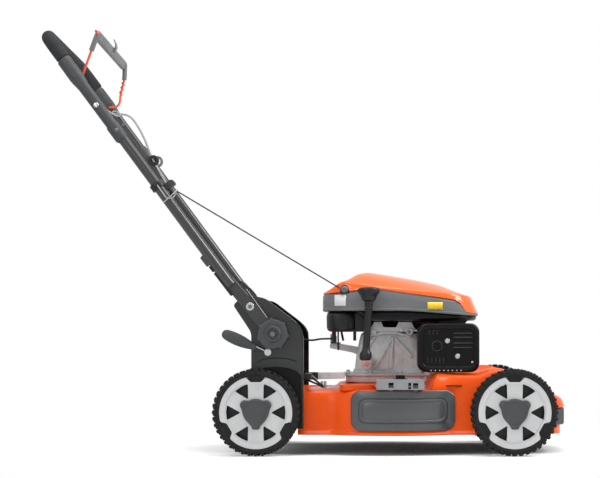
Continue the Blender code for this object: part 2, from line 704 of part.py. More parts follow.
def make_side_door():
    back, front = REAR_X + DOOR_BACK, REAR_X + DOOR_BACK + DOOR_WIDTH
    low, high = DOOR_LOW, DOOR_HIGH
    band = wall_band(0.0015, 0.0015 + DOOR_THICKNESS, low - 0.01, high + 0.01, back - 0.01, front + 0.01)
    door = part("side_door", band, "grey_plastic", sharp=30)
    frame = rounded([(back, low, 0.022), (front, low, 0.022), (front, high, 0.022), (back, high, 0.022)], 4)
    keep_inside(door, prism(frame, -0.29, -0.19))
    top = DOOR_THICKNESS + DOOR_PANEL_RISE
    panel = tool(wall_band(0.006, 0.0015 + top, low, high, back, front), "panel")
    edge = 0.024
    frame = rounded([(back + edge, low + edge, 0.012), (front - edge, low + edge, 0.012),
                     (front - edge, high - edge * 0.8, 0.012), (back + edge, high - edge * 0.8, 0.012)], 4)
    keep_inside(panel, prism(frame, -0.29, -0.19))
    boolean(door, panel, "UNION")
    for x in (REAR_X + 0.315, REAR_X + 0.382):
        eye = [(DOOR_AXIS.y - 0.0055, high - 0.008, 0), (DOOR_AXIS.y + 0.0045, high - 0.008, 0),
               (DOOR_AXIS.y + 0.0055, DOOR_AXIS.z + 0.0055, 0.004),
               (DOOR_AXIS.y - 0.0055, DOOR_AXIS.z + 0.0055, 0.004)]
        weld(door, prism(rounded(eye, 2), x - 0.007, x + 0.007, "X"))
    line = Vector((REAR_X + 0.29, DOOR_AXIS.y, DOOR_AXIS.z)), Vector((REAR_X + 0.41, DOOR_AXIS.y,
                                                                      DOOR_AXIS.z))
    cut(door, rod(*line, ROD_RADIUS + GAP, 12))
    return door


def make_door_hinge():
    """The bracket on the deck's shoulder, with its rod and the spring that shuts the door."""
    back, front = REAR_X + 0.288, REAR_X + 0.404
    foot = DECK_TOP + GAP
    face = DOOR_AXIS.y + 0.013
    bracket = part("door_bracket", block((back, face, foot), (front, face + 0.0025, foot + 0.026)),
                   "grey_plastic")
    weld(bracket, block((back, face + 0.001, foot), (front, face + 0.036, foot + 0.0025)))
    for x in (back + 0.0015, front - 0.0015):
        weld(bracket,
             block((x - 0.0015, DOOR_AXIS.y - 0.006, foot + 0.0015),
                   (x + 0.0015, face + 0.001, foot + 0.018)))
    for x, wide in ((REAR_X + 0.318, 0.012), (REAR_X + 0.352, 0.008), (REAR_X + 0.374, 0.012)):
        cut(bracket, block((x, face - 0.01, foot + 0.008), (x + wide, face + 0.01, foot + 0.020)))
    ends = Vector((back - 0.003, DOOR_AXIS.y, DOOR_AXIS.z)), Vector((front + 0.003, DOOR_AXIS.y,
                                                                     DOOR_AXIS.z))
    over = Vector((0.01, 0, 0))
    cut(bracket, rod(ends[0] - over, ends[1] + over, ROD_RADIUS + GAP, 12))
    part("door_rod", rod(*ends, ROD_RADIUS, 12), "steel")
    make_door_spring(REAR_X + 0.336, face)


def make_door_spring(start, face):
    """A torsion spring on the rod, one leg on the bracket and one on the door."""
    pitch = SPRING_WIRE * 2 + 0.0008
    spokes = 8
    points = [Vector((start, face - GAP, DOOR_AXIS.z + SPRING_RADIUS))]
    for k in range(int(SPRING_TURNS * spokes) + 1):
        angle = 2 * pi * k / spokes
        points.append(Vector((start + pitch * k / spokes, DOOR_AXIS.y - SPRING_RADIUS * sin(angle),
                              DOOR_AXIS.z + SPRING_RADIUS * cos(angle))))
    last = points[-1]
    points.append(last + Vector((0, -0.004, -0.0005)))
    least = min((points[a] - points[a + spokes]).length for a in range(1, SPRING_TURNS * spokes - spokes))
    print("door spring: least gap between turns", round((least - 2 * SPRING_WIRE) * 1000, 2), "mm")
    return part("door_spring", wire_curve(points, SPRING_WIRE, 1), "steel")


# Engine

ENGINE = Vector((CRANK_X, 0, 0))
SHROUD_SQUARE = 4.5
COVER_POINTS = 32


def squarish(middle, rear, front, half, count):
    """A superellipse about a point on the middle plane, as long behind and ahead of it as given."""
    points = []
    for i in range(count):
        angle = 2 * pi * (i + 0.5) / count
        c, s = cos(angle), sin(angle)
        length = front if c > 0 else rear
        radius = (abs(c / length) ** SHROUD_SQUARE + abs(s / half) ** SHROUD_SQUARE) ** (-1 / SHROUD_SQUARE)
        points.append(Vector((middle + radius * c, radius * s)))
    return points


def shroud_outline(inset=0.0, rear=SHROUD_REAR):
    """Points round the engine's covers, inset from the largest outline."""
    return squarish(CRANK_X, rear - inset, SHROUD_FRONT - inset, SHROUD_HALF_WIDTH - inset, COVER_POINTS)


def band_low(x):
    return SHROUD_BOTTOM - 0.012 * smooth_step(0.02, SHROUD_FRONT, x - CRANK_X)


def band_high(x):
    """The seam between band and cover falls gently, then drops where the cover's front lip wraps down."""
    ahead = x - CRANK_X
    seam = (SHROUD_BOTTOM + BAND_HEIGHT - 0.005 * (1 - smooth_step(-SHROUD_REAR, -0.03, ahead))
            - 0.145 * max(0.0, ahead + 0.020))
    nose = smooth_step(SHROUD_FRONT - 0.052, SHROUD_FRONT - 0.030, ahead)
    return seam * (1 - nose) + (band_low(x) + LIP_STRIP) * nose


def falling(ahead, start, end, drop, power):
    """A height lost ahead of start, drop in all at end."""
    return drop * (max(0.0, ahead - start) / (end - start)) ** power


def crease(x):
    ahead = x - CRANK_X
    rear = 0.022 * (1 - smooth_step(-SHROUD_REAR, -0.120, ahead))
    return COVER_TOP - 0.028 - rear - falling(ahead, -0.12, SHROUD_FRONT, 0.048, 1.35)


def crown(x):
    ahead = x - CRANK_X
    rear = 0.042 * (1 - smooth_step(-SHROUD_REAR, -0.075, ahead))
    return COVER_TOP - rear - falling(ahead, -0.045, SHROUD_FRONT, 0.064, 1.6)


def level_ring(inset, height):
    """Heights are taken at the largest outline, so that an edge is level across its thickness."""
    return [Vector((p.x, p.y, height(q.x))) for p, q in zip(shroud_outline(inset), shroud_outline())]


def crown_ring(inset, sink):
    return [Vector((p.x, p.y, crown(p.x) - sink)) for p in shroud_outline(inset)]


def make_band():
    wall = SHROUD_WALL
    rings = [level_ring(0.002, band_low), level_ring(0, lambda x: band_low(x) + 0.004),
             level_ring(0.002, lambda x: band_high(x) - GAP),
             level_ring(wall + 0.002, lambda x: band_high(x) - GAP),
             level_ring(wall, lambda x: band_low(x) + 0.004), level_ring(wall + 0.002, band_low)]
    return part("shroud_band", ring_loft(rings, loop=True), "grey_plastic", sharp=30)


def make_top_cover():
    rings = [level_ring(0.002, lambda x: band_high(x) + GAP),
             level_ring(0.002, lambda x: (band_high(x) * 0.4 + crease(x) * 0.6)),
             level_ring(0.012, crease), crown_ring(0.045, 0.007), crown_ring(0.09, 0.001),
             crown_ring(0.145, -0.001)]
    cover = part("top_cover", ring_loft(rings, cap_last=True), "orange", sharp=24)
    sheet = cover.modifiers.new("sheet", "SOLIDIFY")
    sheet.thickness = 0.003
    sheet.offset = -1
    return cover


def make_blower_housing():
    """A black tray under the band, with a hole for the crankshaft and feet on the block."""
    floor = SHROUD_BOTTOM - TRAY_DEPTH

    def ring(inset, height=None):
        outline = shroud_outline(inset, 0.072)
        return [Vector((p.x, p.y, band_low(p.x) - 2 * GAP if height is None else height)) for p in outline]
    rings = [ring(0.020, floor), ring(0.008, floor + 0.009), ring(0.004), ring(0.008),
             ring(0.012, floor + 0.010), ring(0.024, floor + 0.004)]
    rings.append([Vector((CRANK_X + 0.02 * cos(a), 0.02 * sin(a), floor + 0.004))
                  for a in (2 * pi * (i + 0.5) / COVER_POINTS for i in range(COVER_POINTS))])
    rings.append([Vector((p.x, p.y, floor)) for p in rings[-1]])
    tray = part("blower_housing", ring_loft(rings, loop=True), "black_plastic", sharp=30)
    for x, wide in ((CRANK_X - 0.047, 0.030), (CRANK_X + 0.016, 0.045)):
        lug = rounded([(x, floor + 0.002, 0), (x + wide, floor + 0.002, 0),
                       (x + wide - 0.006, floor - 0.018, 0.004),
                       (x + 0.006, floor - 0.018, 0.004)], 2)
        weld(tray, prism(lug, -0.135, -0.129))
    return tray


def make_block():
    """The crankcase casting: a tapered drum with ribs and a finned cylinder lying towards the front."""
    foot, top = SUMP_TOP + GAP, BLOCK_TOP
    drum = [(BLOCK_RADIUS * 0.62, SHROUD_BOTTOM - TRAY_DEPTH - GAP), (BLOCK_RADIUS * 0.86, top),
            (BLOCK_RADIUS * 0.92, top - 0.030),
            (BLOCK_RADIUS, foot + 0.012), (BLOCK_RADIUS + 0.008, foot + 0.008),
            (BLOCK_RADIUS + 0.008, foot)]
    rings = [[ENGINE + Vector((r * cos(a), r * sin(a), h)) for a in (2 * pi * i / 20 for i in range(20))]
             for r, h in drum]
    engine = part("engine_block", ring_loft(rings, cap_first=True, cap_last=True), "aluminium", sharp=30)
    middle = 0.264
    weld(engine,
         rod(ENGINE + Vector((0.05, 0, middle)), ENGINE + Vector((CYLINDER_REACH, 0, middle)), 0.036, 14))
    for k in range(5):
        x = CRANK_X + BLOCK_RADIUS + 0.008 + k * 0.0145
        weld(engine, block((x, -CYLINDER_HALF, middle - 0.042), (x + 0.003, CYLINDER_HALF, middle + 0.042)))
    for lean, height in ((-0.55, 0.058), (0.0, 0.066), (0.55, 0.058)):
        base = ENGINE + Vector((0.0, -BLOCK_RADIUS * 0.86, middle + 0.01))
        tip = base + Vector((lean * height, -0.008, -height))
        weld(engine, rod(base, tip, 0.0045, 6, 0.0065))
    arm = rounded([(-0.152, 0.268, 0.003), (-0.122, 0.268, 0.004), (-0.060, 0.255, 0), (-0.060, 0.235, 0),
                   (-0.095, 0.246, 0.02),
                   (-0.152, 0.257, 0.003)], 2)
    weld(engine, prism([(CRANK_X + a, b) for a, b in arm], -0.030, -0.012))
    weld(engine,
         rod(ENGINE + Vector((-0.061, -0.052, 0.226)), ENGINE + Vector((-0.061, -0.128, 0.226)), 0.013, 12))
    bore = ENGINE + Vector((0, 0, foot - 0.01)), ENGINE + Vector((0, 0, top + 0.03))
    cut(engine, rod(*bore, 0.0125 + RUN, 20))
    return engine


def make_sump():
    """The base casting with its bolting flange, on the deck's platform."""
    low = PLATFORM_TOP + GAP
    corner = SUMP_CORNER
    outline = rounded([(-corner - 0.012, -corner, 0.03), (corner, -corner, 0.03), (corner, corner, 0.03),
                       (-corner - 0.012, corner, 0.03)], 3)
    sump = part("oil_sump", prism([(CRANK_X + a, b) for a, b in outline], low, low + 0.008, "Z"),
                "aluminium")
    drum = ENGINE + Vector((0, 0, low + 0.004)), ENGINE + Vector((0, 0, SUMP_TOP))
    weld(sump, rod(*drum, BLOCK_RADIUS + 0.010, 32, BLOCK_RADIUS + 0.006))
    cut(sump,
        rod(ENGINE + Vector((0, 0, low - 0.01)), ENGINE + Vector((0, 0, SUMP_TOP + 0.01)), 0.0125 + RUN,
            20))
    return sump


def make_head():
    start = CRANK_X + CYLINDER_REACH + GAP
    low, high = (start, -CYLINDER_HALF, 0.218), (start + HEAD_THICKNESS, CYLINDER_HALF, 0.310)
    head = part("cylinder_head", block(low, high, 0.006), "aluminium")
    weld(head,
         block((start + HEAD_THICKNESS - 0.004, -0.034, 0.228),
               (start + HEAD_THICKNESS + 0.010, 0.034, 0.300), 0.005))
    port = Vector((start + 0.015, -CYLINDER_HALF + 0.004, 0.262))
    weld(head, rod(port, port + Vector((0, -0.018, 0)), 0.014, 16))
    inlet = Vector((start + 0.015, CYLINDER_HALF - 0.004, 0.262))
    weld(head, rod(inlet, inlet + Vector((0, 0.014, 0)), 0.012, 16))
    plug = Vector((start + HEAD_THICKNESS + 0.010 + GAP, 0.0, 0.262))
    spark = part("spark_plug", rod(plug, plug + Vector((0.012, 0, 0)), 0.0075, 6), "steel")
    weld(spark, rod(plug + Vector((0.008, 0, 0)), plug + Vector((0.046, 0, 0)), 0.0055, 16, 0.008))
    return port, inlet


def make_tank():
    """The fuel tank under the band's rear, with its filler neck out on the left."""
    top, low = SHROUD_BOTTOM - GAP, SHROUD_BOTTOM - TANK_DEPTH
    half = (SHROUD_REAR - 0.077) / 2
    middle = CRANK_X - SHROUD_REAR + half

    def ring(inset, height):
        outline = squarish(middle, half - inset, half - 0.001, 0.150 - inset, 28)
        return [Vector((p.x, p.y, height)) for p in outline]
    rings = [ring(0.012, low), ring(0.007, low + 0.006), ring(0.005, top)]
    tank = part("fuel_tank", ring_loft(rings, cap_first=True, cap_last=True), "black_plastic", sharp=30)
    neck = FUEL_NECK
    weld(tank,
         block((neck.x - 0.030, 0.10, low + 0.004), (neck.x + 0.030, neck.y + 0.020, top - 0.004), 0.006))
    weld(tank, rod((neck.x, neck.y, top - 0.008), (neck.x, neck.y, neck.z), 0.016, 20))
    return tank


def make_fuel_cap():
    base, rim = FUEL_NECK.z + GAP, 0.022
    cap = part("fuel_cap", knob_disc(FUEL_NECK.x, FUEL_NECK.y, base, base + 0.016, rim, 8, 0.05, "Z", 3),
               "black_plastic", bevel=0.0015)
    return cap


def knob_disc(a, b, low, high, radius, lobes, depth, axis, steps=5):
    """A disc with a wavy edge for the fingers."""
    outline = []
    for k in range(lobes * steps):
        angle = 2 * pi * k / (lobes * steps)
        r = radius * (1 - depth + depth * cos(lobes * angle))
        outline.append((a + r * cos(angle), b + r * sin(angle)))
    return prism(outline, low, high, axis)


FUEL_NECK = Vector((CRANK_X - 0.116, 0.188, SHROUD_BOTTOM + 0.012))
OIL_TOP = Vector((CRANK_X - 0.056, -0.1925, 0.358))
OIL_BORE = 0.005
STICK_LENGTH = 0.090


def make_oil_filler():
    """A tube that leaves the crankcase's boss, turns upright and ends below the dipstick's cap."""
    start = Vector((CRANK_X - 0.061, -0.128 - GAP, 0.226))
    path = bend([start, start + Vector((0, -0.020, 0)), (OIL_TOP.x, OIL_TOP.y, 0.262), OIL_TOP], 0.014, 3)
    tube = part("oil_tube", wire_mesh(path, OIL_TUBE_RADIUS, 3), "black_plastic", sharp=40)
    weld(tube, rod(start, start + Vector((0, -0.018, 0)), 0.0145, 16))
    cut(tube,
        rod(OIL_TOP + Vector((0, 0, -STICK_LENGTH - 0.004)), OIL_TOP + Vector((0, 0, 0.01)), OIL_BORE, 10))
    top = OIL_TOP.z + GAP
    outline = [(0, 0.050), (0.019, 0.050), (0.0245, 0.045), (0.0245, 0.030), (0.017, 0.020), (0.013, 0.0),
               (0.0018, 0.0), (0.0018, -STICK_LENGTH), (0, -STICK_LENGTH)]
    return lathe("oil_cap", outline, Vector((OIL_TOP.x, OIL_TOP.y, top)), "black_plastic", steps=16)


# Muffler and guard

GUARD_LOW = 0.1995
GUARD_BACK = CRANK_X + 0.065
GUARD_FACE = -0.190


def make_muffler(port):
    low = Vector((GUARD_BACK + 0.018, GUARD_FACE + 0.008, GUARD_LOW + 0.016))
    high = Vector((GUARD_BACK + GUARD_WIDTH - 0.018, GUARD_FACE + GUARD_DEPTH - 0.004,
                   GUARD_LOW + GUARD_HEIGHT - 0.018))
    muffler = part("muffler", block(low, high, 0.010, 2), "steel", sharp=30)
    weld(muffler, rod((port.x, high.y - 0.004, port.z), (port.x, port.y - 0.018 - GAP, port.z), 0.012, 16))
    return muffler


def make_guard():
    """A pressed cover open towards the engine, with a sunk panel and cooling slots."""
    back, front, low = GUARD_BACK, GUARD_BACK + GUARD_WIDTH, GUARD_LOW
    high = low + GUARD_HEIGHT
    outline = rounded([(back, low, 0.020), (front, low, 0.020), (front, high, 0.020),
                       (back, high, 0.020)], 3)
    guard = pan("muffler_guard", outline, GUARD_FACE + GUARD_DEPTH, GUARD_FACE, GUARD_SHEET,
                "black_plastic", 0.0015)
    edge = 0.013
    panel = rounded([(back + edge, low + edge + 0.004, 0.014), (front - edge, low + edge + 0.004, 0.014),
                     (front - edge, high - edge - 0.004, 0.014),
                     (back + edge, high - edge - 0.004, 0.014)], 2)
    cut(guard, prism(panel, GUARD_FACE - 0.01, GUARD_FACE + 0.0011))
    cut(guard, guard_slots(back, low))
    for x, z in ((back + 0.074, low + 0.076), (back + 0.099, low + 0.039)):
        weld(guard, rod((x, GUARD_FACE - 0.002, z), (x, GUARD_FACE + 0.008 - GAP, z), 0.0055, 12))
    return guard


def guard_slots(back, low):
    bm = bmesh.new()
    shapes = [((back + 0.092, low + z), 0.042, 0.0032) for z in (0.092, 0.083, 0.069, 0.058)]
    shapes += [((back + 0.035 + k * 0.009, low + 0.024), 0.0045, 0.010) for k in range(5)]
    shapes += [((back + 0.039 + k * 0.009, low + 0.088), 0.0045, 0.010) for k in range(3)]
    for (x, z), wide, tall in shapes:
        mesh = block((x, GUARD_FACE - 0.01, z), (x + wide, GUARD_FACE + 0.012, z + tall))
        bm.from_mesh(mesh)
    hole = rod((back + 0.049, GUARD_FACE - 0.01, low + 0.064),
               (back + 0.049, GUARD_FACE + 0.006, low + 0.064), 0.011, 16)
    bm.from_mesh(hole)
    for k in range(7):
        x = back + 0.050 + k * 0.0115
        bm.from_mesh(block((x, GUARD_FACE + 0.014, low - 0.01),
                           (x + 0.005, GUARD_FACE + 0.020, low + 0.01)))
    return mesh_from(bm, "slots")


def make_intake(inlet):
    """Carburettor with its float bowl, and the air filter's cover beyond it."""
    start = inlet.y + 0.014 + GAP
    carb = part("carburettor",
                block((inlet.x - 0.020, start, inlet.z - 0.020),
                      (inlet.x + 0.020, start + 0.040, inlet.z + 0.020),
                                     0.003), "aluminium")
    weld(carb,
         rod((inlet.x, start + 0.020, inlet.z - 0.018), (inlet.x, start + 0.020, inlet.z - 0.042), 0.015,
             16))
    face = start + 0.040 + GAP
    low, high = (inlet.x - 0.065, face, GUARD_LOW + 0.014), (inlet.x + 0.030, face + 0.082,
                                                             SHROUD_BOTTOM - TRAY_DEPTH - 0.003)
    cover = part("air_filter_cover", block(low, high, 0.010, 2), "black_plastic", sharp=30)
    for k in range(4):
        x = low[0] + 0.020 + k * 0.015
        cut(cover, block((x, high[1] - 0.002, low[2] + 0.02), (x + 0.005, high[1] + 0.01, high[2] - 0.02)))
    return cover


# Turning parts of the engine

BLADE_LEVEL = LIP_HEIGHT + 0.012
BLADE_THICKNESS = 0.004
BELT_LEVEL = DECK_TOP - 0.030
PULLEY_HALF = 0.0075
WAIST_DEPTH = 0.009
FLYWHEEL_LEVEL = SHROUD_BOTTOM + 0.006


def make_crankshaft():
    shaft, waist, disc = 0.0125, CRANK_PULLEY_RADIUS - 0.005, CRANK_PULLEY_RADIUS + 0.004
    flange = BLADE_LEVEL + BLADE_THICKNESS + GAP
    up, down = BELT_LEVEL + PULLEY_HALF, BELT_LEVEL - PULLEY_HALF
    outline = [(0, FLYWHEEL_LEVEL + 0.036), (shaft, FLYWHEEL_LEVEL + 0.036), (shaft, up), (disc, up),
               (disc, up - 0.002), (waist, up - 0.0025), (waist, down + 0.0025), (disc, down + 0.002),
               (disc, down),
               (shaft, down), (shaft, flange + 0.016), (0.024, flange + 0.012), (0.024, flange),
               (0.005 + GAP, flange), (0.005 + GAP, flange + 0.022), (0, flange + 0.022)]
    return lathe("crankshaft", outline, Vector((CRANK_X, 0, 0)), "steel", steps=14)


def make_flywheel():
    """A disc with cooling vanes, on the crankshaft's upper end."""
    low = FLYWHEEL_LEVEL
    bore = 0.0125 + GAP
    outline = [(0.030, 0.030), (FLYWHEEL_RADIUS * 0.7, 0.012), (FLYWHEEL_RADIUS, 0.010),
               (FLYWHEEL_RADIUS, 0),
               (bore, 0), (bore, 0.030)]
    wheel = lathe("flywheel", outline, Vector((CRANK_X, 0, low)), "aluminium", steps=20)
    vanes = bmesh.new()
    for k in range(9):
        spin = Matrix.Rotation(2 * pi * k / 9, 4, "Z") @ Matrix.Rotation(radians(20), 4, "Z")
        mesh = block((0.055, -0.0012, 0.004), (FLYWHEEL_RADIUS - 0.004, 0.0012, 0.026))
        mesh.transform(Matrix.Translation((CRANK_X, 0, low)) @ spin)
        vanes.from_mesh(mesh)
    return weld(wheel, mesh_from(vanes, "vanes"))


def make_blade():
    """A flat bar with ground leading edges and raised wings; its second half is the first one turned."""
    stations = [(0.0, 0.026, 0.0), (0.030, 0.026, 0.0), (0.150, 0.024, 0.0), (0.170, 0.024, 0.003),
                (BLADE_RADIUS - 0.008, 0.024, 0.013), (BLADE_RADIUS, 0.020, 0.013)]
    stations = [(-x, half, lift) for x, half, lift in reversed(stations[1:])] + stations
    rings = []
    for x, half, lift in stations:
        section = [(-half, 0.0012, 0), (0.004, 0, 0), (half, lift, 0), (half, lift + 0.0028, 0),
                   (0.004, BLADE_THICKNESS, 0),
                   (-half, 0.0030, 0)]
        if x < 0:
            section = [(-y, z, 0) for y, z, _ in section]
            section = [section[k] for k in (2, 1, 0, 5, 4, 3)]
        rings.append([Vector((CRANK_X + x, y, BLADE_LEVEL + z)) for y, z, _ in section])
    blade = part("blade", ring_loft(rings, cap_first=True, cap_last=True), "steel", sharp=20)
    cut(blade, rod((CRANK_X, 0, BLADE_LEVEL - 0.01), (CRANK_X, 0, BLADE_LEVEL + 0.02), 0.005 + GAP, 16))
    top = BLADE_LEVEL - GAP
    outline = [(0, 0.024), (0.0048, 0.024), (0.0048, 0), (0.013, -0.001), (0.013, -0.0025),
               (0.0095, -0.003), (0.0095, -0.010),
               (0, -0.010)]
    lathe("blade_bolt", outline, Vector((CRANK_X, 0, top)), "steel", steps=12)
    return blade


# Drive

GEARBOX_X = REAR_X + 0.030
PULLEY_EDGE = 0.032


def make_gearbox():
    """The reduction gear on the rear axle, with an upright input shaft."""
    low, high = WHEEL_RADIUS - 0.030, BELT_LEVEL - PULLEY_HALF - RUN
    half = GEARBOX_HALF_WIDTH
    box = part("gearbox", block((REAR_X - 0.014, -half, low), (REAR_X + 0.060, half, high), 0.010, 2),
               "aluminium", sharp=30)
    cut(box,
        rod((REAR_X, -half - 0.01, WHEEL_RADIUS), (REAR_X, half + 0.01, WHEEL_RADIUS), AXLE_RADIUS + GAP,
            16))
    weld(box, rod((GEARBOX_X, 0, high - 0.005), (GEARBOX_X, 0, BELT_LEVEL + PULLEY_HALF), 0.006, 12))
    return box


def make_gearbox_pulley():
    waist, bore = PULLEY_EDGE - WAIST_DEPTH, 0.006 + GAP
    half = PULLEY_HALF
    outline = [(PULLEY_EDGE, half), (PULLEY_EDGE, half - 0.002), (waist, half - 0.0025),
               (waist, -half + 0.0025),
               (PULLEY_EDGE, -half + 0.002), (PULLEY_EDGE, -half), (bore, -half), (bore, half)]
    return lathe("gearbox_pulley", outline, Vector((GEARBOX_X, 0, BELT_LEVEL)), "steel", steps=18)


def make_belt():
    """A closed belt round the two pulleys: two arcs and two straight runs."""
    small, large = CRANK_PULLEY_RADIUS - 0.005 + GAP, PULLEY_EDGE - WAIST_DEPTH + GAP
    span = CRANK_X - GEARBOX_X
    lean = pi / 2 + (large - small) / span
    front = [(CRANK_X, small, -(pi - lean) + 2 * (pi - lean) * k / 10) for k in range(11)]
    rear = [(GEARBOX_X, large, (pi - lean) + 2 * lean * k / 14) for k in range(15)]
    rings = []
    for centre, radius, angle in front + rear:
        way = Vector((cos(angle), sin(angle), 0))
        base = Vector((centre, 0, BELT_LEVEL))
        rings.append([base + way * (radius / cos(pi / 22)) + Vector((0, 0, -0.0042)),
                      base + way * (radius + 0.008) + Vector((0, 0, -0.0047)),
                      base + way * (radius + 0.008) + Vector((0, 0, 0.0047)),
                      base + way * (radius / cos(pi / 22)) + Vector((0, 0, 0.0042))])
    return part("drive_belt", ring_loft(rings, loop=True), "rubber", sharp=40)


# Height lever

LEVER_LEAN = radians(26.3)      # above level, pointing backwards
LEVER_DIR = Vector((-cos(LEVER_LEAN), 0, sin(LEVER_LEAN)))
LEVER_ROD = 0.0035
LEVER_REACH = 0.034             # bolt to the grip's front end
GRIP_LENGTH = 0.088


def make_height_lever():
    out = -(TOWER_OUTER + FOOT_DEPTH / 2)
    bolt = Vector((LEVER_BOLT.x, out, LEVER_BOLT.z))
    face = -(TOWER_OUTER + GAP)
    lever = part("height_lever", rod((bolt.x, face, bolt.z), (bolt.x, out - 0.004, bolt.z), 0.0085, 12),
                 "steel")
    weld(lever, rod(bolt, bolt + LEVER_DIR * (LEVER_REACH + 0.040), LEVER_ROD, 10))
    stations = [(0.0, 0.0065), (0.010, 0.0095), (0.030, 0.0115), (0.060, 0.0125), (0.080, 0.0110),
                (GRIP_LENGTH, 0.0055)]
    across = Vector((LEVER_DIR.z, 0, -LEVER_DIR.x))
    rings = []
    for along, radius in stations:
        base = bolt + LEVER_DIR * (LEVER_REACH + along)
        flat = min(radius, FOOT_DEPTH / 2 - 0.0012)
        rings.append([base + across * (radius * cos(a)) + Vector((0, flat * sin(a), 0))
                      for a in (2 * pi * k / 12 for k in range(12))])
    grip = part("height_grip", ring_loft(rings, cap_first=True, cap_last=True), "grey_plastic", sharp=50)
    bore = bolt + LEVER_DIR * (LEVER_REACH - 0.005), bolt + LEVER_DIR * (LEVER_REACH + 0.040 + GAP)
    cut(grip, rod(*bore, LEVER_ROD + GAP, 10))
    return lever


# Handle

FOOT_WIDTH = 0.030
FOOT_BELOW = 0.004              # the foot's round end, below the pivot
FOAM_RETURN = 0.088             # how far the foam comes down each side
COVER_LENGTH = 0.230


def handle_path():
    """The tube's middle line from the right foot over the crossbar to the left foot."""
    points = []
    for side in (-1, 1):
        y = side * HANDLE_HALF_WIDTH
        leg = [KINK - FOOT_DIR * 0.012, KINK, HANDLE_END]
        leg = [Vector((p.x, y, p.z)) for p in leg]
        points += leg if side < 0 else leg[::-1]
    return points


def rounded_path(points):
    corner = bend(points[1:5], HANDLE_CORNER, 4)
    return [points[0]] + corner + [points[-1]]


def make_handle():
    """One tube bent into a loop, flattened at its feet."""
    handle = part("handle_loop", wire_mesh(rounded_path(handle_path()), HANDLE_TUBE, 3), "dark_sheet",
                  sharp=50)
    across = Vector((FOOT_DIR.z, 0, -FOOT_DIR.x)) * (FOOT_WIDTH / 2)
    low, high = PIVOT - FOOT_DIR * (FOOT_BELOW + FOOT_WIDTH / 2), KINK + FOOT_DIR * 0.004
    corners = [(low - across, 0.014), (high - across * 0.8, 0.004), (high + across * 0.8, 0.004),
               (low + across, 0.014)]
    outline = rounded([(p.x, p.z, r) for p, r in corners], 4)
    for side in (-1, 1):
        near, far = sorted((side * (TOWER_OUTER + GAP), side * (TOWER_OUTER + FOOT_DEPTH)))
        weld(handle, prism(outline, near, far))
        hole = [Vector((PIVOT.x, side * (TOWER_OUTER + over), PIVOT.z)) for over in (-0.012, 0.038)]
        cut(handle, rod(*hole, 0.004 + GAP * 2, 12))
        inside = HANDLE_HALF_WIDTH - HANDLE_TUBE
        pin = Vector((BAIL_PIVOT.x, side * (inside - 0.01), BAIL_PIVOT.z)), \
            Vector((BAIL_PIVOT.x, side * HANDLE_HALF_WIDTH, BAIL_PIVOT.z))
        cut(handle, rod(*pin, BAIL_WIRE + GAP * 2, 12))
    return handle


def make_foam():
    """A foam sleeve over the crossbar and both corners."""
    side_point = HANDLE_END - HANDLE_DIR * FOAM_RETURN
    points = [Vector((side_point.x, -HANDLE_HALF_WIDTH, side_point.z)),
              Vector((HANDLE_END.x, -HANDLE_HALF_WIDTH, HANDLE_END.z)),
              Vector((HANDLE_END.x, HANDLE_HALF_WIDTH, HANDLE_END.z)),
              Vector((side_point.x, HANDLE_HALF_WIDTH, side_point.z))]
    path = bend(points, HANDLE_CORNER, 4)
    over = HANDLE_DIR * 0.01
    bore = [path[0] - over] + path + [path[-1] - over]
    foam = part("foam_grip", wire_mesh(path, HANDLE_TUBE + FOAM_THICKNESS, 3), "foam", sharp=60)
    return cut(foam, wire_mesh(bore, (HANDLE_TUBE + GAP) / cos(pi / 10), 3))


def make_side_cover(name, side):
    """A moulded half shell on the tube's rear and outer side, deeper at its upper end."""
    inner = HANDLE_TUBE + GAP * 2
    centre = atan2(side * 0.55, -1)
    stations = [(0.0, 0.0165), (0.010, 0.0195), (0.060, 0.0195), (0.085, 0.0158), (0.185, 0.0155),
                (0.192, 0.0180),
                (0.222, 0.0180), (COVER_LENGTH, 0.0155)]
    rings = []
    for along, outer in stations:
        base = HANDLE_END - HANDLE_DIR * (FOAM_RETURN + 0.002 + along) + Vector((0,
                                                                                 side * HANDLE_HALF_WIDTH,
                                                                                 0))
        ring = []
        for radius, order in ((outer, range(7)), (inner, range(6, -1, -1))):
            for k in order:
                a = centre + radians(-96 + 32 * k)
                ring.append(base + HANDLE_FRONT * (radius * cos(a)) + Vector((0, radius * sin(a), 0)))
        rings.append(ring)
    return part(name, ring_loft(rings, cap_first=True, cap_last=True), "grey_plastic", sharp=40)


def make_star_knob(name, side):
    """A five-lobed knob on the handle's clamping bolt."""
    seat = side * (TOWER_OUTER + FOOT_DEPTH + GAP)
    low, high = sorted((seat, seat + side * (KNOB_HEIGHT - 0.008)))
    knob = part(name, knob_disc(PIVOT.x, PIVOT.z, low, high, KNOB_RADIUS, 5, 0.07, "Y", 4),
                "grey_plastic", bevel=0.003)
    crown_end = Vector((PIVOT.x, seat + side * KNOB_HEIGHT * 0.96, PIVOT.z))
    weld(knob, rod(Vector((PIVOT.x, low if side > 0 else high, PIVOT.z)), crown_end, 0.020, 16))
    inner = Vector((PIVOT.x, side * (TOWER_OUTER - TOWER_SHEET - 0.008), PIVOT.z))
    weld(knob, rod(inner, Vector((PIVOT.x, seat + side * 0.002, PIVOT.z)), 0.004, 12))
    return knob


# Bail

BAIL_DIR = Vector((sin(BAIL_LEAN), 0, cos(BAIL_LEAN)))
BAIL_HALF = HANDLE_HALF_WIDTH - HANDLE_TUBE - 0.009
BAIL_TOP = BAIL_PIVOT + BAIL_DIR * BAIL_LENGTH
SLEEVE_RETURN = 0.046
SLEEVE_RADIUS = 0.0062
BAR_HEIGHT = 0.022
BAR_DEPTH = 0.011


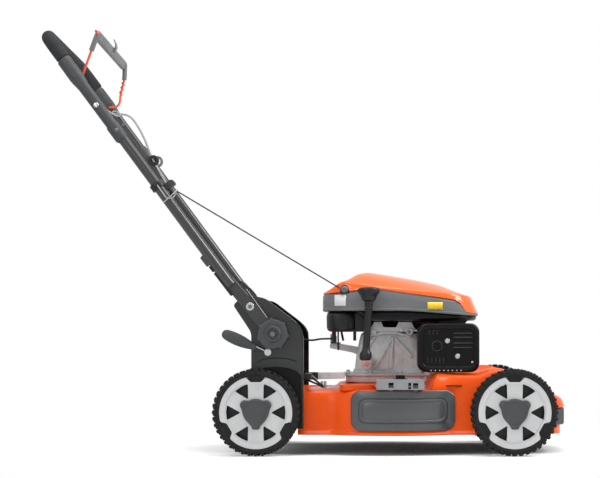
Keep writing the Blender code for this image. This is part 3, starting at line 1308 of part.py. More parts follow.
def bail_path(low_drop=None):
    points = []
    for side in (-1, 1):
        y = side * BAIL_HALF
        top = Vector((BAIL_TOP.x, y, BAIL_TOP.z))
        if low_drop is None:
            pin = Vector((BAIL_PIVOT.x, side * (HANDLE_HALF_WIDTH - 0.003), BAIL_PIVOT.z))
            foot = [pin, Vector((BAIL_PIVOT.x, y, BAIL_PIVOT.z))]
        else:
            foot = [top - BAIL_DIR * low_drop]
        points += (foot + [top]) if side < 0 else ([top] + foot[::-1])
    return points


def make_bail():
    """The wire bow that the operator holds against the crossbar, with its grip bar and catch."""
    bail = part("bail", wire_mesh(bend(bail_path(), 0.012, 3), BAIL_WIRE, 2), "bail_red", sharp=50)
    path = bend(bail_path(SLEEVE_RETURN), 0.012, 3)
    over = BAIL_DIR * 0.01
    grip = part("bail_grip", wire_mesh(path, SLEEVE_RADIUS, 2), "grey_plastic", sharp=50)
    up, front = BAIL_DIR, Vector((BAIL_DIR.z, 0, -BAIL_DIR.x))
    middle = BAIL_TOP - up * (BAR_HEIGHT / 2 - SLEEVE_RADIUS)
    corners = [middle + front * (a * BAR_DEPTH / 2) + up * (b * BAR_HEIGHT / 2) for a,
               b in ((-1, -1), (1, -1), (1, 1), (-1, 1))]
    half = BAIL_HALF - 0.012
    weld(grip, prism(rounded([(p.x, p.z, 0.004) for p in corners], 2), -half, half))
    tab = [(-0.0015, -0.004), (0.0015, -0.004), (0.0015, 0.014), (-0.0075, 0.034), (-0.0105, 0.033),
           (-0.0015, 0.013)]
    tab = [BAIL_TOP + front * (0.0065 + a) + up * b for a, b in tab]
    weld(grip, prism([(p.x, p.z) for p in tab], -0.011, 0.011))
    bore = [path[0] - over] + path + [path[-1] - over]
    cut(grip, wire_mesh(bore, (BAIL_WIRE + GAP) / cos(pi / 8) + 0.0001, 2))
    return bail


# Starter rope and brake cable

GUIDE_SPOT = HANDLE_END - HANDLE_DIR * 0.484 + Vector((0, -HANDLE_HALF_WIDTH, 0))
GRIP_Y = -HANDLE_HALF_WIDTH + 0.034


def make_rope_guide():
    """A clamp round the right tube with an eye for the starter rope."""
    half, outer = 0.009, HANDLE_TUBE + 0.004
    guide = part("rope_guide",
                 rod(GUIDE_SPOT - HANDLE_DIR * half, GUIDE_SPOT + HANDLE_DIR * half, outer, 16),
                 "black_plastic")
    eye = Vector((GUIDE_SPOT.x, GRIP_Y, GUIDE_SPOT.z)) + HANDLE_FRONT * 0.016
    weld(guide, rod(eye - HANDLE_DIR * 0.006, eye + HANDLE_DIR * 0.006, 0.0075, 16))
    weld(guide, rod(GUIDE_SPOT, eye, 0.005, 8))
    cut(guide, rod(eye - HANDLE_DIR * 0.02, eye + HANDLE_DIR * 0.02, ROPE_RADIUS + 0.0012, 10))
    inside = (HANDLE_TUBE + GAP) / cos(pi / 16)
    cut(guide, rod(GUIDE_SPOT - HANDLE_DIR * 0.03, GUIDE_SPOT + HANDLE_DIR * 0.03, inside, 16))
    return eye


def make_starter(eye):
    """The pull grip, parked on its guide, and the rope down to the engine."""
    low = eye + HANDLE_DIR * (0.006 + GAP)
    across, along = HANDLE_FRONT * 0.0215, HANDLE_DIR
    middle = low + HANDLE_FRONT * 0.001
    shape = [(-1.0, 0.0, 0.003), (1.0, 0.0, 0.003), (0.92, 0.016, 0.006), (-0.92, 0.016, 0.006)]
    corners = [(middle + across * a + along * b, r) for a, b, r in shape]
    grip = part("starter_grip",
                prism(rounded([(p.x, p.z, r) for p, r in corners], 3), GRIP_Y - 0.010, GRIP_Y + 0.010),
                "grey_plastic", bevel=0.002)
    end = Vector((CRANK_X - 0.128, -0.1508, SHROUD_BOTTOM + 0.0575))
    start = low - HANDLE_DIR * GAP
    route = [start, eye, eye - HANDLE_DIR * 0.008,
             eye - HANDLE_DIR * 0.014 + (end - eye).normalized() * 0.010]
    route = route + [route[-1].lerp(end, k / 6) for k in range(1, 7)]
    part("starter_rope", wire_curve(route, ROPE_RADIUS, 2), "rubber")
    return grip


def make_brake_cable():
    """From the bail's left leg down the inside of the left tube to the engine's brake lever."""
    inside = HANDLE_HALF_WIDTH - HANDLE_TUBE - CABLE_RADIUS - 0.0016
    top = BAIL_PIVOT + Vector((0.008, BAIL_HALF - BAIL_WIRE - CABLE_RADIUS - 0.0008, -0.018))
    tube_a = KINK.lerp(HANDLE_END, 0.456) + Vector((0, inside, 0))
    tube_b = KINK + HANDLE_DIR * 0.055 + Vector((0, inside, 0))
    inner = TOWER_INNER - 0.008
    route = [top, BAIL_PIVOT + HANDLE_FRONT * 0.030 - HANDLE_DIR * 0.055 + Vector((0, inside - 0.0119, 0)),
             BAIL_PIVOT + HANDLE_FRONT * 0.028 - HANDLE_DIR * 0.115 + Vector((0, inside - 0.0109, 0)),
             BAIL_PIVOT + HANDLE_FRONT * 0.012 - HANDLE_DIR * 0.180 + Vector((0, inside - 0.0069, 0)),
             tube_a, tube_b, KINK + HANDLE_FRONT * 0.0102 + Vector((0, inside - 0.0119, 0)),
             PIVOT + Vector((-0.074, inner, 0.109)),
             PIVOT + Vector((-0.040, inner - 0.004, 0.057)), PIVOT + Vector((0.005, inner - 0.008, 0.005)),
             Vector((REAR_X + 0.110, inner - 0.020, 0.277)), Vector((REAR_X + 0.150, 0.08, 0.280)),
             Vector((REAR_X + 0.187, -0.0082, 0.281))]
    return part("brake_cable", wire_curve(spline_points(route, 0.030), CABLE_RADIUS, 1), "grey_plastic")


def make_brake_lever():
    """A bent tag that turns on the end of the crankcase's arm."""
    x, z = CRANK_X - 0.142, 0.268 + GAP
    lever = part("brake_lever", block((x - 0.008, -0.034, z), (x + 0.018, -0.0125, z + 0.003)),
                 "black_plastic")
    weld(lever, block((x - 0.008, -0.034, z), (x - 0.005, -0.0125, z + 0.024)))
    weld(lever, rod((x + 0.004, -0.022, z), (x + 0.004, -0.022, z + 0.020), 0.004, 10))
    return lever


# Assembly

def pivots():
    """Each moving body's name, its joint's place and the body that carries it."""
    hubs = {}
    for end, x in (("rear", REAR_X), ("front", FRONT_X)):
        for label, side in (("right", -1), ("left", 1)):
            hubs["wheel_" + end + "_" + label] = (Vector((x, side * HALF_TRACK, WHEEL_RADIUS)),
                                                  end + "_axle_arm")
    fixed = {
        "rear_axle_arm": (REAR_ARM, None), "front_axle_arm": (FRONT_ARM, None),
        "lever_arm": (LEVER_BOLT, None),
        "door": (DOOR_AXIS, None), "crank": (ENGINE, None), "dipstick": (OIL_TOP, None),
        "filler_cap": (FUEL_NECK, None),
        "brake": (Vector((CRANK_X - 0.138, -0.022, 0.27)), None), "handle": (PIVOT, None),
        "drive_pulley": (Vector((GEARBOX_X, 0, BELT_LEVEL)), "rear_axle_arm"),
        "bow": (BAIL_PIVOT, "handle"), "starter": (GUIDE_SPOT, "handle"),
        "knob_right": (PIVOT + Vector((0, -TOWER_OUTER, 0)), "handle"),
        "knob_left": (PIVOT + Vector((0, TOWER_OUTER, 0)), "handle"),
    }
    return {**fixed, **hubs}


RIDERS = {
    "rear_axle": "rear_axle_arm", "gearbox": "rear_axle_arm", "front_axle": "front_axle_arm",
    "height_lever": "lever_arm", "height_grip": "lever_arm", "side_door": "door",
    "crankshaft": "crank", "flywheel": "crank", "blade": "crank", "blade_bolt": "crank",
    "gearbox_pulley": "drive_pulley", "oil_cap": "dipstick", "fuel_cap": "filler_cap",
    "brake_lever": "brake",
    "handle_loop": "handle", "foam_grip": "handle", "moulding_right": "handle", "moulding_left": "handle",
    "rope_guide": "handle", "starter_rope": "handle", "brake_cable": "handle", "bail": "bow",
    "bail_grip": "bow",
    "starter_grip": "starter", "star_knob_right": "knob_right", "star_knob_left": "knob_left",
}


def hang_on_pivots():
    """Parent every moving piece to an empty on its joint, leaving it where it is."""
    empties = {}
    for name, (spot, carrier) in pivots().items():
        empty = bpy.data.objects.new("pivot_" + name, None)
        empty.empty_display_size = 0.02
        bpy.context.scene.collection.objects.link(empty)
        base = pivots()[carrier][0] if carrier else Vector((0, 0, 0))
        empty.parent = empties.get(carrier)
        empty.location = spot - base
        empties[name] = empty
    bpy.context.view_layer.update()
    for obj in PARTS.objects:
        body = RIDERS.get(obj.name)
        for kind in ("tyre_", "rim_", "hub_cap_"):
            if obj.name.startswith(kind):
                body = "wheel_" + obj.name[len(kind):]
        if body:
            obj.parent = empties[body]
            obj.matrix_parent_inverse = empties[body].matrix_world.inverted()


def main():
    clear_scene()
    make_collections()
    make_wheels()
    make_axle("rear_axle", REAR_X, REAR_ARM, TOWER_OUTER - 0.0005)
    make_axle("front_axle", FRONT_X, FRONT_ARM, DECK_HALF_WIDTH + 0.002)
    make_deck()
    make_bumper()
    make_tower("tower_right", -1)
    make_tower("tower_left", 1)
    make_tower_brace()
    make_side_door()
    make_door_hinge()
    make_block()
    make_sump()
    port, inlet = make_head()
    make_blower_housing()
    make_band()
    make_top_cover()
    make_tank()
    make_fuel_cap()
    make_oil_filler()
    make_muffler(port)
    make_guard()
    make_intake(inlet)
    make_crankshaft()
    make_flywheel()
    make_blade()
    make_gearbox()
    make_gearbox_pulley()
    make_belt()
    make_brake_lever()
    make_height_lever()
    make_handle()
    make_foam()
    make_side_cover("moulding_right", -1)
    make_side_cover("moulding_left", 1)
    make_bail()
    make_star_knob("star_knob_right", -1)
    make_star_knob("star_knob_left", 1)
    make_starter(make_rope_guide())
    make_brake_cable()
    hang_on_pivots()


main()
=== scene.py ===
# Walk-behind lawn mower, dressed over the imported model.
# Metres, +Z up, +X ahead, operator's right on the -Y side.
import bpy
import bmesh
from math import sin, cos, pi, radians, hypot
from mathutils import Vector, Matrix


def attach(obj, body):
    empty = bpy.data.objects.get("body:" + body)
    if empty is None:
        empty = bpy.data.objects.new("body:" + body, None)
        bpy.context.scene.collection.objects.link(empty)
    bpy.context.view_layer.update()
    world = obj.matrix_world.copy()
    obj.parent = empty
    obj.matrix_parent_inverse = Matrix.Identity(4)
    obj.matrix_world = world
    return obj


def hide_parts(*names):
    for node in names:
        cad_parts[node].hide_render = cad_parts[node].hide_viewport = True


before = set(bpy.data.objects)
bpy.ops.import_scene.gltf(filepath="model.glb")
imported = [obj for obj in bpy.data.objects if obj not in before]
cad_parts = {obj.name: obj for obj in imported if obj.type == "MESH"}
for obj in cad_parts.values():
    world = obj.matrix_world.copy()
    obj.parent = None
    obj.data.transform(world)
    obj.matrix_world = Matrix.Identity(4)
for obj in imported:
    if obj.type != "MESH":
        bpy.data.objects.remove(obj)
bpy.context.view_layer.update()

# camera: a long lens square to the right side, shifted as the photograph is framed
view = {"width": 600, "height": 478, "sensor": 36, "focal": 1550.7, "axis": (355, 332),
        "eye": (0.1177, -3.975, 0.298)}


def addCamera(view):
    data = bpy.data.cameras.new("sideCamera")
    data.sensor_width = view["sensor"]
    data.lens = view["sensor"] * view["focal"] / view["width"]
    data.shift_x = (view["width"] / 2 - view["axis"][0]) / view["width"]
    data.shift_y = (view["axis"][1] - view["height"] / 2) / view["width"]
    camera = bpy.data.objects.new("sideCamera", data)
    camera.location = view["eye"]
    camera.rotation_euler = (radians(90), 0, 0)
    bpy.context.scene.collection.objects.link(camera)
    bpy.context.scene.camera = camera


addCamera(view)
bpy.context.scene.view_settings.view_transform = "Standard"
print("camera placed")


# nodes and colours
def toLinear(code):
    parts = [int(code[i:i + 2], 16) / 255 for i in (1, 3, 5)]
    return tuple(c / 12.92 if c <= 0.04045 else ((c + 0.055) / 1.055) ** 2.4 for c in parts) + (1,)


def addNode(tree, kind, sockets=None, **settings):
    node = tree.nodes.new("ShaderNode" + kind)
    for name, value in settings.items():
        setattr(node, name, value)
    for name, value in (sockets or {}).items():
        if isinstance(value, bpy.types.NodeSocket):
            tree.links.new(value, node.inputs[name])
        else:
            node.inputs[name].default_value = value
    return node


finishes = {}


# Every finish has a tone that drifts over some centimetres, a fine grain that lifts the surface,
# and a gloss that varies. Grain and drift are given in millimetres of the real surface.
def makeFinish(name, tone, tone2, rough=(0.4, 0.5), driftMm=60, grainMm=1.5, grainDepth=0.06, metal=0.0,
               ior=1.46, coat=0.0, speckle=None, stretch=(1, 1, 1), gleam=0.5):
    material = bpy.data.materials.new(name)
    material.use_nodes = True
    tree = material.node_tree
    shader = tree.nodes["Principled BSDF"]
    place = addNode(tree, "TexCoord").outputs["Object"]
    place = addNode(tree, "Mapping", {"Vector": place, "Scale": stretch}).outputs["Vector"]
    drift = addNode(tree, "TexNoise", {"Vector": place, "Scale": 1000 / driftMm, "Detail": 3.0,
                                       "Roughness": 0.55})
    grain = addNode(tree, "TexNoise", {"Vector": place, "Scale": 1000 / grainMm, "Detail": 4.0,
                                       "Roughness": 0.6})
    spread = addNode(tree, "MapRange", {"Value": drift.outputs["Fac"], "From Min": 0.3, "From Max": 0.7})
    colour = addNode(tree, "Mix", {"Factor": spread.outputs["Result"]}, data_type="RGBA")
    colour.inputs[6].default_value = toLinear(tone)
    colour.inputs[7].default_value = toLinear(tone2)
    painted = colour.outputs[2]
    if speckle:
        dots = addNode(tree, "MapRange", {"Value": grain.outputs["Fac"], "From Min": 0.58, "From Max": 0.72})
        flecks = addNode(tree, "Mix", {"Factor": dots.outputs["Result"]}, data_type="RGBA")
        tree.links.new(painted, flecks.inputs[6])
        flecks.inputs[7].default_value = toLinear(speckle)
        painted = flecks.outputs[2]
    gloss = addNode(tree, "MapRange", {"Value": grain.outputs["Fac"], "From Min": 0.3, "From Max": 0.7,
                                       "To Min": rough[0], "To Max": rough[1]})
    relief = addNode(tree, "Bump", {"Height": grain.outputs["Fac"], "Strength": grainDepth,
                                    "Distance": grainMm / 1000})
    for socket, link in (("Base Color", painted), ("Roughness", gloss.outputs["Result"]),
                         ("Normal", relief.outputs["Normal"])):
        tree.links.new(link, shader.inputs[socket])
    shader.inputs["Metallic"].default_value = metal
    if not metal:
        shader.inputs["IOR"].default_value = ior
    shader.inputs["Specular IOR Level"].default_value = gleam
    shader.inputs["Coat Weight"].default_value = coat
    shader.inputs["Coat Roughness"].default_value = 0.12
    finishes[name] = material


# powder-coated pressed steel: a smooth hard skin with faint orange peel
makeFinish("deckPowderCoat", "#F05502", "#E64E00", (0.24, 0.34), 90, 2.2, 0.05, ior=1.5, coat=0.08,
           gleam=0.22)
# injection-moulded ABS, satin, the same orange a touch warmer
makeFinish("coverAbs", "#FA6406", "#F65F04", (0.16, 0.24), 80, 1.6, 0.03, ior=1.54, gleam=0.55)
# moulded grey polypropylene with a spark-eroded grain
makeFinish("greyPolypropylene", "#6C6E70", "#646668", (0.4, 0.5), 70, 1.0, 0.1, ior=1.49)
makeFinish("darkPolypropylene", "#434547", "#3B3D3F", (0.42, 0.52), 70, 1.0, 0.1, ior=1.49, gleam=0.35)
# glass-filled nylon, near black, slightly mottled by the fibres
makeFinish("blackNylon", "#1A1A1B", "#141415", (0.32, 0.44), 50, 0.9, 0.1, ior=1.53, gleam=0.3)
# semi-matt enamel baked on pressed sheet
makeFinish("darkEnamel", "#323334", "#2B2C2D", (0.2, 0.26), 80, 1.4, 0.02, ior=1.5, gleam=0.45)
# the handle tube's gloss enamel, smooth enough to carry a strip of light
makeFinish("tubeEnamel", "#202122", "#1B1C1D", (0.22, 0.25), 80, 1.4, 0.002, ior=1.5, gleam=0.85)
# moulded rubber: dull, a little bloom on the surface
makeFinish("tyreRubber", "#171718", "#1F1F20", (0.58, 0.74), 30, 1.2, 0.22, ior=1.52, gleam=0.22)
# moulded polypropylene with a silver pigment
makeFinish("rimSilver", "#C9CACB", "#BFC0C1", (0.36, 0.46), 60, 1.0, 0.06, ior=1.49, speckle="#D4D5D6",
           gleam=0.35)
makeFinish("capGrey", "#464748", "#3F4041", (0.4, 0.5), 40, 0.9, 0.1, ior=1.49, gleam=0.35)
# foam rubber sleeve: open, matt, sooty
makeFinish("foamRubber", "#3A3B3C", "#323334", (0.85, 0.95), 25, 1.8, 0.55, ior=1.4, gleam=0.25)
# die-cast aluminium, shot-blasted: its pale oxide skin scatters like paint, so it isn't set as metal
makeFinish("castAluminium", "#E2E9EA", "#C3CBCD", (0.3, 0.46), 22, 1.4, 0.22)
# turned and ground steel
makeFinish("machinedSteel", "#B9BABA", "#A6A7A8", (0.22, 0.36), 20, 1.0, 0.08, metal=1.0)
# bright zinc plate with its faint bluish passivation
makeFinish("zincPlate", "#D3D5D8", "#BFC2C4", (0.18, 0.3), 12, 0.8, 0.06, metal=1.0)
# hardened spring steel, ground and blued a little by heat: the blade, the hinge's rod and the dark screws
makeFinish("bladeSteel", "#7D7F82", "#65676A", (0.3, 0.45), 30, 1.2, 0.15, metal=1.0)
# soft PVC jacket over wire, in orange-red
makeFinish("bailJacket", "#E8552A", "#DD4A20", (0.32, 0.42), 30, 0.8, 0.06, ior=1.5, coat=0.2)
# braided nylon, its grain drawn out along the cord
makeFinish("ropeNylon", "#2C2C2E", "#1E1E20", (0.6, 0.75), 8, 0.9, 0.6, ior=1.53, stretch=(1, 1, 3))
# extruded grey PVC over the cable
makeFinish("cableJacket", "#A6A7A9", "#98999B", (0.34, 0.44), 30, 0.8, 0.08, ior=1.5)
# the door's moulded polypropylene: a finer spark-eroded grain that catches a soft sheen
makeFinish("doorPolypropylene", "#4D4F51", "#464849", (0.22, 0.3), 90, 0.9, 0.05, ior=1.49, gleam=0.5)
# deep-drawn sheet under black stove enamel
# the same black also stands as painted shade behind the guard's openings and the bracket's windows, in the
# wells and the slot
makeFinish("blackEnamel", "#0B0B0C", "#0E0E0F", (0.2, 0.3), 40, 1.6, 0.05, ior=1.52, gleam=0.16)
# the hinge bracket's pale grey stove enamel
makeFinish("greyEnamel", "#8D8F91", "#838587", (0.28, 0.38), 40, 1.2, 0.05, ior=1.5)
# painted shade: the deck's inside, orange on the real pan, is set near black to darken the shadow beneath
makeFinish("deckInsideShade", "#121212", "#0C0C0C", (0.7, 0.85), 20, 2.5, 0.4, gleam=0.15)
# printed vinyl film, left blank
makeFinish("labelVinyl", "#E9E9EA", "#DFE0E2", (0.25, 0.35), 8, 1.0, 0.03, ior=1.48, coat=0.3)
makeFinish("labelYellowVinyl", "#F2CB1C", "#EBC010", (0.25, 0.35), 8, 1.0, 0.03, ior=1.48, coat=0.3)
# moulded rubber with a cloth face
makeFinish("beltRubber", "#262627", "#1D1D1E", (0.6, 0.75), 15, 1.0, 0.3, ior=1.52)

nodeFinish = {
    "deckPowderCoat": ["deck_shell"],
    "coverAbs": ["top_cover"],
    "greyPolypropylene": ["shroud_band", "side_door"],
    "darkPolypropylene": ["height_grip", "moulding_right", "moulding_left", "starter_grip", "star_knob_right",
                          "star_knob_left", "bail_grip"],
    "blackNylon": ["blower_housing", "fuel_tank", "oil_tube", "oil_cap", "fuel_cap", "muffler_guard",
                   "air_filter_cover", "brake_lever", "rope_guide"],
    "darkEnamel": ["tower_right", "tower_left", "tower_brace", "handle_loop"],
    "foamRubber": ["foam_grip"],
    "castAluminium": ["engine_block", "oil_sump", "cylinder_head", "carburettor", "gearbox", "flywheel"],
    "machinedSteel": ["crankshaft", "gearbox_pulley", "muffler", "rear_axle", "front_axle"],
    "zincPlate": ["height_lever", "spark_plug", "blade_bolt"],
    "bladeSteel": ["blade", "door_rod", "door_spring", "door_bracket"],
    "bailJacket": ["bail"],
    "ropeNylon": ["starter_rope"],
    "cableJacket": ["brake_cable"],
    "beltRubber": ["drive_belt"],
}
for spot in ("rear_right", "rear_left", "front_right", "front_left"):
    nodeFinish.setdefault("tyreRubber", []).append("tyre_" + spot)
    nodeFinish.setdefault("rimSilver", []).append("rim_" + spot)
    nodeFinish.setdefault("capGrey", []).append("hub_cap_" + spot)
nodeFinish["capGrey"].append("front_bumper")

for finish, names in nodeFinish.items():
    for name in names:
        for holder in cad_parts[name].material_slots:
            holder.material = finishes[finish]
print("finishes on the packed parts")


# mesh helpers: every piece is made from rings, slabs and swept tubes
def smoothStep(low, high, value):
    t = min(1.0, max(0.0, (value - low) / (high - low)))
    return t * t * (3 - 2 * t)


# the point at a given y on the camera's line through a pixel
def atPixel(px, py, y):
    reach = (y - view["eye"][1]) / view["focal"]
    return Vector((view["eye"][0] + (px - view["axis"][0]) * reach, y,
                   view["eye"][2] - (py - view["axis"][1]) * reach))


def atSide(p, y):
    return Vector((p.x, y, p.z))


# faces between neighbouring rings of vertices; a ring of one vertex is a tip
def skin(bm, rings, around=True, loop=False, capFirst=False, capLast=False):
    for a, b in zip(rings, rings[1:] + rings[:1]) if loop else zip(rings, rings[1:]):
        count = max(len(a), len(b))
        for i in range(count if around else count - 1):
            j = (i + 1) % count
            corners = ([a[i], a[j]] if len(a) > 1 else [a[0]]) + ([b[j], b[i]] if len(b) > 1 else [b[0]])
            if len(corners) > 2:
                bm.faces.new(corners)
    if capFirst and len(rings[0]) > 2:
        bm.faces.new(list(reversed(rings[0])))
    if capLast and len(rings[-1]) > 2:
        bm.faces.new(rings[-1])


# the same from rings of points
def loft(bm, rings, **how):
    rows = [[bm.verts.new(p) for p in ring] for ring in rings]
    skin(bm, rows, **how)
    return rows


# the angles of an evenly divided circle, the first one moved by a share of a step
def turns(count, first=0):
    return [2 * pi * (k + first) / count for k in range(count)]


# profile: (radius, distance along the axis) pairs, spun about centre
def spin(bm, profile, centre, axis=(0, -1, 0), steps=48, loop=False):
    way = Vector(axis).normalized()
    across = Vector((1, 0, 0)) if abs(way.x) < 0.7 else Vector((0, 0, 1))
    across = (across - way * across.dot(way)).normalized()
    other = way.cross(across)
    rings = []
    for radius, along in profile:
        foot = Vector(centre) + way * along
        if radius < 1e-6:
            rings.append([foot])
        else:
            rings.append([foot + (across * cos(t) + other * sin(t)) * radius for t in turns(steps)])
    loft(bm, rings, loop=loop)


# a round tube along a path, with one radius or one for each point
def tube(bm, points, radius, sides=12, loop=False):
    points = [Vector(p) for p in points]
    count = len(points)
    rings, normal = [], None
    for i, p in enumerate(points):
        ahead = points[(i + 1) % count] if loop or i < count - 1 else p
        behind = points[i - 1] if loop or i > 0 else p
        way = (ahead - behind).normalized()
        normal = way.orthogonal() if normal is None else normal
        normal = (normal - way * normal.dot(way)).normalized()
        other = way.cross(normal)
        r = radius[i] if isinstance(radius, (list, tuple)) else radius
        rings.append([p + (normal * cos(t) + other * sin(t)) * r for t in turns(sides)])
    loft(bm, rings, loop=loop, capFirst=not loop, capLast=not loop)


def smoothPath(points, steps=6):
    points = [Vector(p) for p in points]
    full = [points[0] * 2 - points[1]] + points + [points[-1] * 2 - points[-2]]
    path = []
    for a, b, c, d in zip(full, full[1:], full[2:], full[3:]):
        for k in range(steps):
            t = k / steps
            path.append(0.5 * (b * 2 + (c - a) * t + (a * 2 - b * 5 + c * 4 - d) * t * t
                               + (b * 3 - a - c * 3 + d) * t ** 3))
    return path + [points[-1]]


# corners: (a, b, radius) triples, each corner turned into a short arc
def rounded(corners, steps=4):
    outline = []
    for i, (a, b, radius) in enumerate(corners):
        here = Vector((a, b))
        before = (Vector(corners[i - 1][:2]) - here)
        after = (Vector(corners[(i + 1) % len(corners)][:2]) - here)
        if radius <= 0:
            outline.append((a, b))
            continue
        half = before.angle(after) / 2
        if abs(half - pi / 2) < 0.01:
            outline.append((a, b))
            continue
        back = min(radius / abs(sin(half) / cos(half)), before.length * 0.49, after.length * 0.49)
        radius = back * abs(sin(half) / cos(half))
        middle = here + (before.normalized() + after.normalized()).normalized() * (radius / sin(half))
        first = here + before.normalized() * back - middle
        turn = first.angle_signed(here + after.normalized() * back - middle)
        for k in range(steps + 1):
            swing = Matrix.Rotation(-turn * k / steps, 2)
            outline.append(tuple(middle + swing @ first))
    return outline


def roundedBox(a0, b0, a1, b1, radius, steps=5):
    return rounded([(a0, b0, radius), (a1, b0, radius), (a1, b1, radius), (a0, b1, radius)], steps)


# a flat plate with holes: outlines are (a, b) rings, the first the edge, and plane says which way it faces
def slab(bm, outlines, low, high, plane="XZ"):
    turn = {"XZ": lambda a, b, c: (a, c, b), "XY": lambda a, b, c: (a, b, c),
            "YZ": lambda a, b, c: (c, a, b)}[plane]
    sheet = bmesh.new()
    for outline in outlines:
        ring = [sheet.verts.new(turn(a, b, low)) for a, b in outline]
        for p, q in zip(ring, ring[1:] + ring[:1]):
            sheet.edges.new((p, q))
    bmesh.ops.triangle_fill(sheet, use_beauty=True, edges=sheet.edges[:])
    drawn = bmesh.ops.extrude_face_region(sheet, geom=sheet.faces[:], use_keep_orig=True)
    shift = Vector(turn(0, 0, high - low))
    for item in drawn["geom"]:
        if isinstance(item, bmesh.types.BMVert):
            item.co += shift
    bmesh.ops.recalc_face_normals(sheet, faces=sheet.faces[:])
    spare = bpy.data.meshes.new("spare")
    sheet.to_mesh(spare)
    sheet.free()
    bm.from_mesh(spare)
    bpy.data.meshes.remove(spare)


def bolt(bm, centre, axis=(0, -1, 0), across=0.01, height=0.005, washer=0.008, thick=0.0012):
    if washer:
        spin(bm, [(0, 0), (washer, 0), (washer, thick * 0.7), (washer - 0.0004, thick), (0, thick)], centre,
             axis, 24)
    r = across / 2 / cos(pi / 6)
    spin(bm, [(r, 0), (r, height * 0.8), (r * 0.88, height), (0, height)], centre, axis, 6)


def domeScrew(bm, centre, axis=(0, -1, 0), radius=0.004, height=0.0025):
    spin(bm, [(radius, 0), (radius, height * 0.35), (radius * 0.8, height * 0.8), (radius * 0.5, height),
              (radius * 0.36, height), (radius * 0.3, height * 0.45), (0, height * 0.45)], centre, axis, 20)


def thicken(piece, thickness, offset=-1):
    sheet = piece.modifiers.new("sheet", "SOLIDIFY")
    sheet.thickness, sheet.offset = thickness, offset
    return sheet


def addPiece(name, bm, finish, body, sharp=32, bevel=0.0, replaced=()):
    bmesh.ops.recalc_face_normals(bm, faces=bm.faces[:])
    mesh = bpy.data.meshes.new(name)
    bm.to_mesh(mesh)
    bm.free()
    mesh.shade_smooth()
    piece = bpy.data.objects.new(name, mesh)
    bpy.context.scene.collection.objects.link(piece)
    mesh.materials.append(finishes[finish])
    if bevel:
        edge = piece.modifiers.new("edge", "BEVEL")
        edge.width, edge.segments, edge.limit_method, edge.angle_limit = bevel, 2, "ANGLE", radians(sharp)
        piece.modifiers.new("shade", "WEIGHTED_NORMAL")
    else:
        mesh.set_sharp_from_angle(angle=radians(sharp))
    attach(piece, body)
    if replaced:
        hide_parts(*replaced)
    return piece


# axes that several pieces share, in metres: the crankshaft's x, and the x and z of the handle's fold
crankX = 0.205285
foldX, foldZ = -0.079715, 0.293
bothSides = (("right", -1), ("left", 1))

# wheels, sizes in metres: 210 mm tyres with two staggered rows of lugs on six-spoke rims
wheels = {
    "hubs": {"rear": -0.119715, "front": 0.500285}, "hubHeight": 0.105, "track": 0.27, "width": 0.045,
    "rimEdge": 0.088, "notches": (90, 210, 330), "notchTop": 0.0265, "notchFoot": 0.0125, "notchDepth": 0.015,
    "windowTip": 0.036, "windowEdge": 0.0692, "windowHalf": 0.018, "flange": 0.0745,
    "lugs": 40, "treadFloor": 0.099, "treadTop": 0.105, "slant": 2.4,
}
capOutline = [(0.0, 0.0334), (0.0094, 0.032), (0.0175, 0.029), (0.0277, 0.0296), (0.035, 0.0258),
              (0.0378, 0.0176), (0.0334, 0.0067), (0.0306, -0.0052), (0.0247, -0.017), (0.0158, -0.0269),
              (0.0109, -0.0328), (0.0078, -0.0395), (0.0, -0.0405)]


def notchedRing(w, radius, grow=0.0, steps=180):
    # the notch is a trapezoid: wide at the edge, narrow at its foot, its flanks straight
    foot = w["rimEdge"] - w["notchDepth"] - grow
    outline = []
    for a in turns(steps):
        reach = radius
        for centre in w["notches"]:
            d = (a - radians(centre) + pi) % (2 * pi) - pi
            if abs(d) < 0.5:
                k = (w["notchTop"] - w["notchFoot"]) / w["notchDepth"]
                # on the flank: |x| = notchFoot + grow + k * (h - foot), with x = r sin d and h = r cos d
                onFlank = (w["notchFoot"] + grow * 1.5 - k * foot) / (sin(abs(d)) - k * cos(d))
                onFoot = foot / cos(d)
                cut = max(onFoot, onFlank) if sin(abs(d)) - k * cos(d) < 0 else onFoot
                if abs(d) * radius < w["notchTop"] + grow * 2.5 + 0.004:
                    reach = min(reach, cut) if cut > 0 else reach
        outline.append((reach * cos(a), reach * sin(a)))
    return outline


def wheelSpot(x, side, w):
    return lambda a, b, out: Vector((x + a, side * (w["track"] - w["width"] + out), w["hubHeight"] + b))


def tyreSection(w, near, far):
    floor, top = w["treadFloor"], w["treadTop"]
    outerTop, innerTop = floor + (top - floor) * near, floor + (top - floor) * far
    face = w["width"]
    outer = [(0.0876, face - 0.0045), (0.0886, face - 0.0026), (0.0905, face - 0.0012),
             (0.0922, face - 0.0003), (0.0934, face - 0.0003), (0.0944, face - 0.0014),
             (0.0958, face - 0.0014), (0.0968, face - 0.0012 + 0.0009 * near),
             (outerTop - 0.0016, face - 0.0004 - 0.001 * (1 - near)), (outerTop, face - 0.0028),
             (outerTop, 0.025), (floor, 0.0236)]
    inner = [(floor, 0.0214), (innerTop, 0.02), (innerTop, 0.0028), (innerTop - 0.0016, 0.0004),
             (0.0968, 0.001), (0.0944, 0.0014), (0.0934, 0.0003), (0.0922, 0.0003), (0.0905, 0.0012),
             (0.0886, 0.0026), (0.0876, 0.0045)]
    return outer + inner


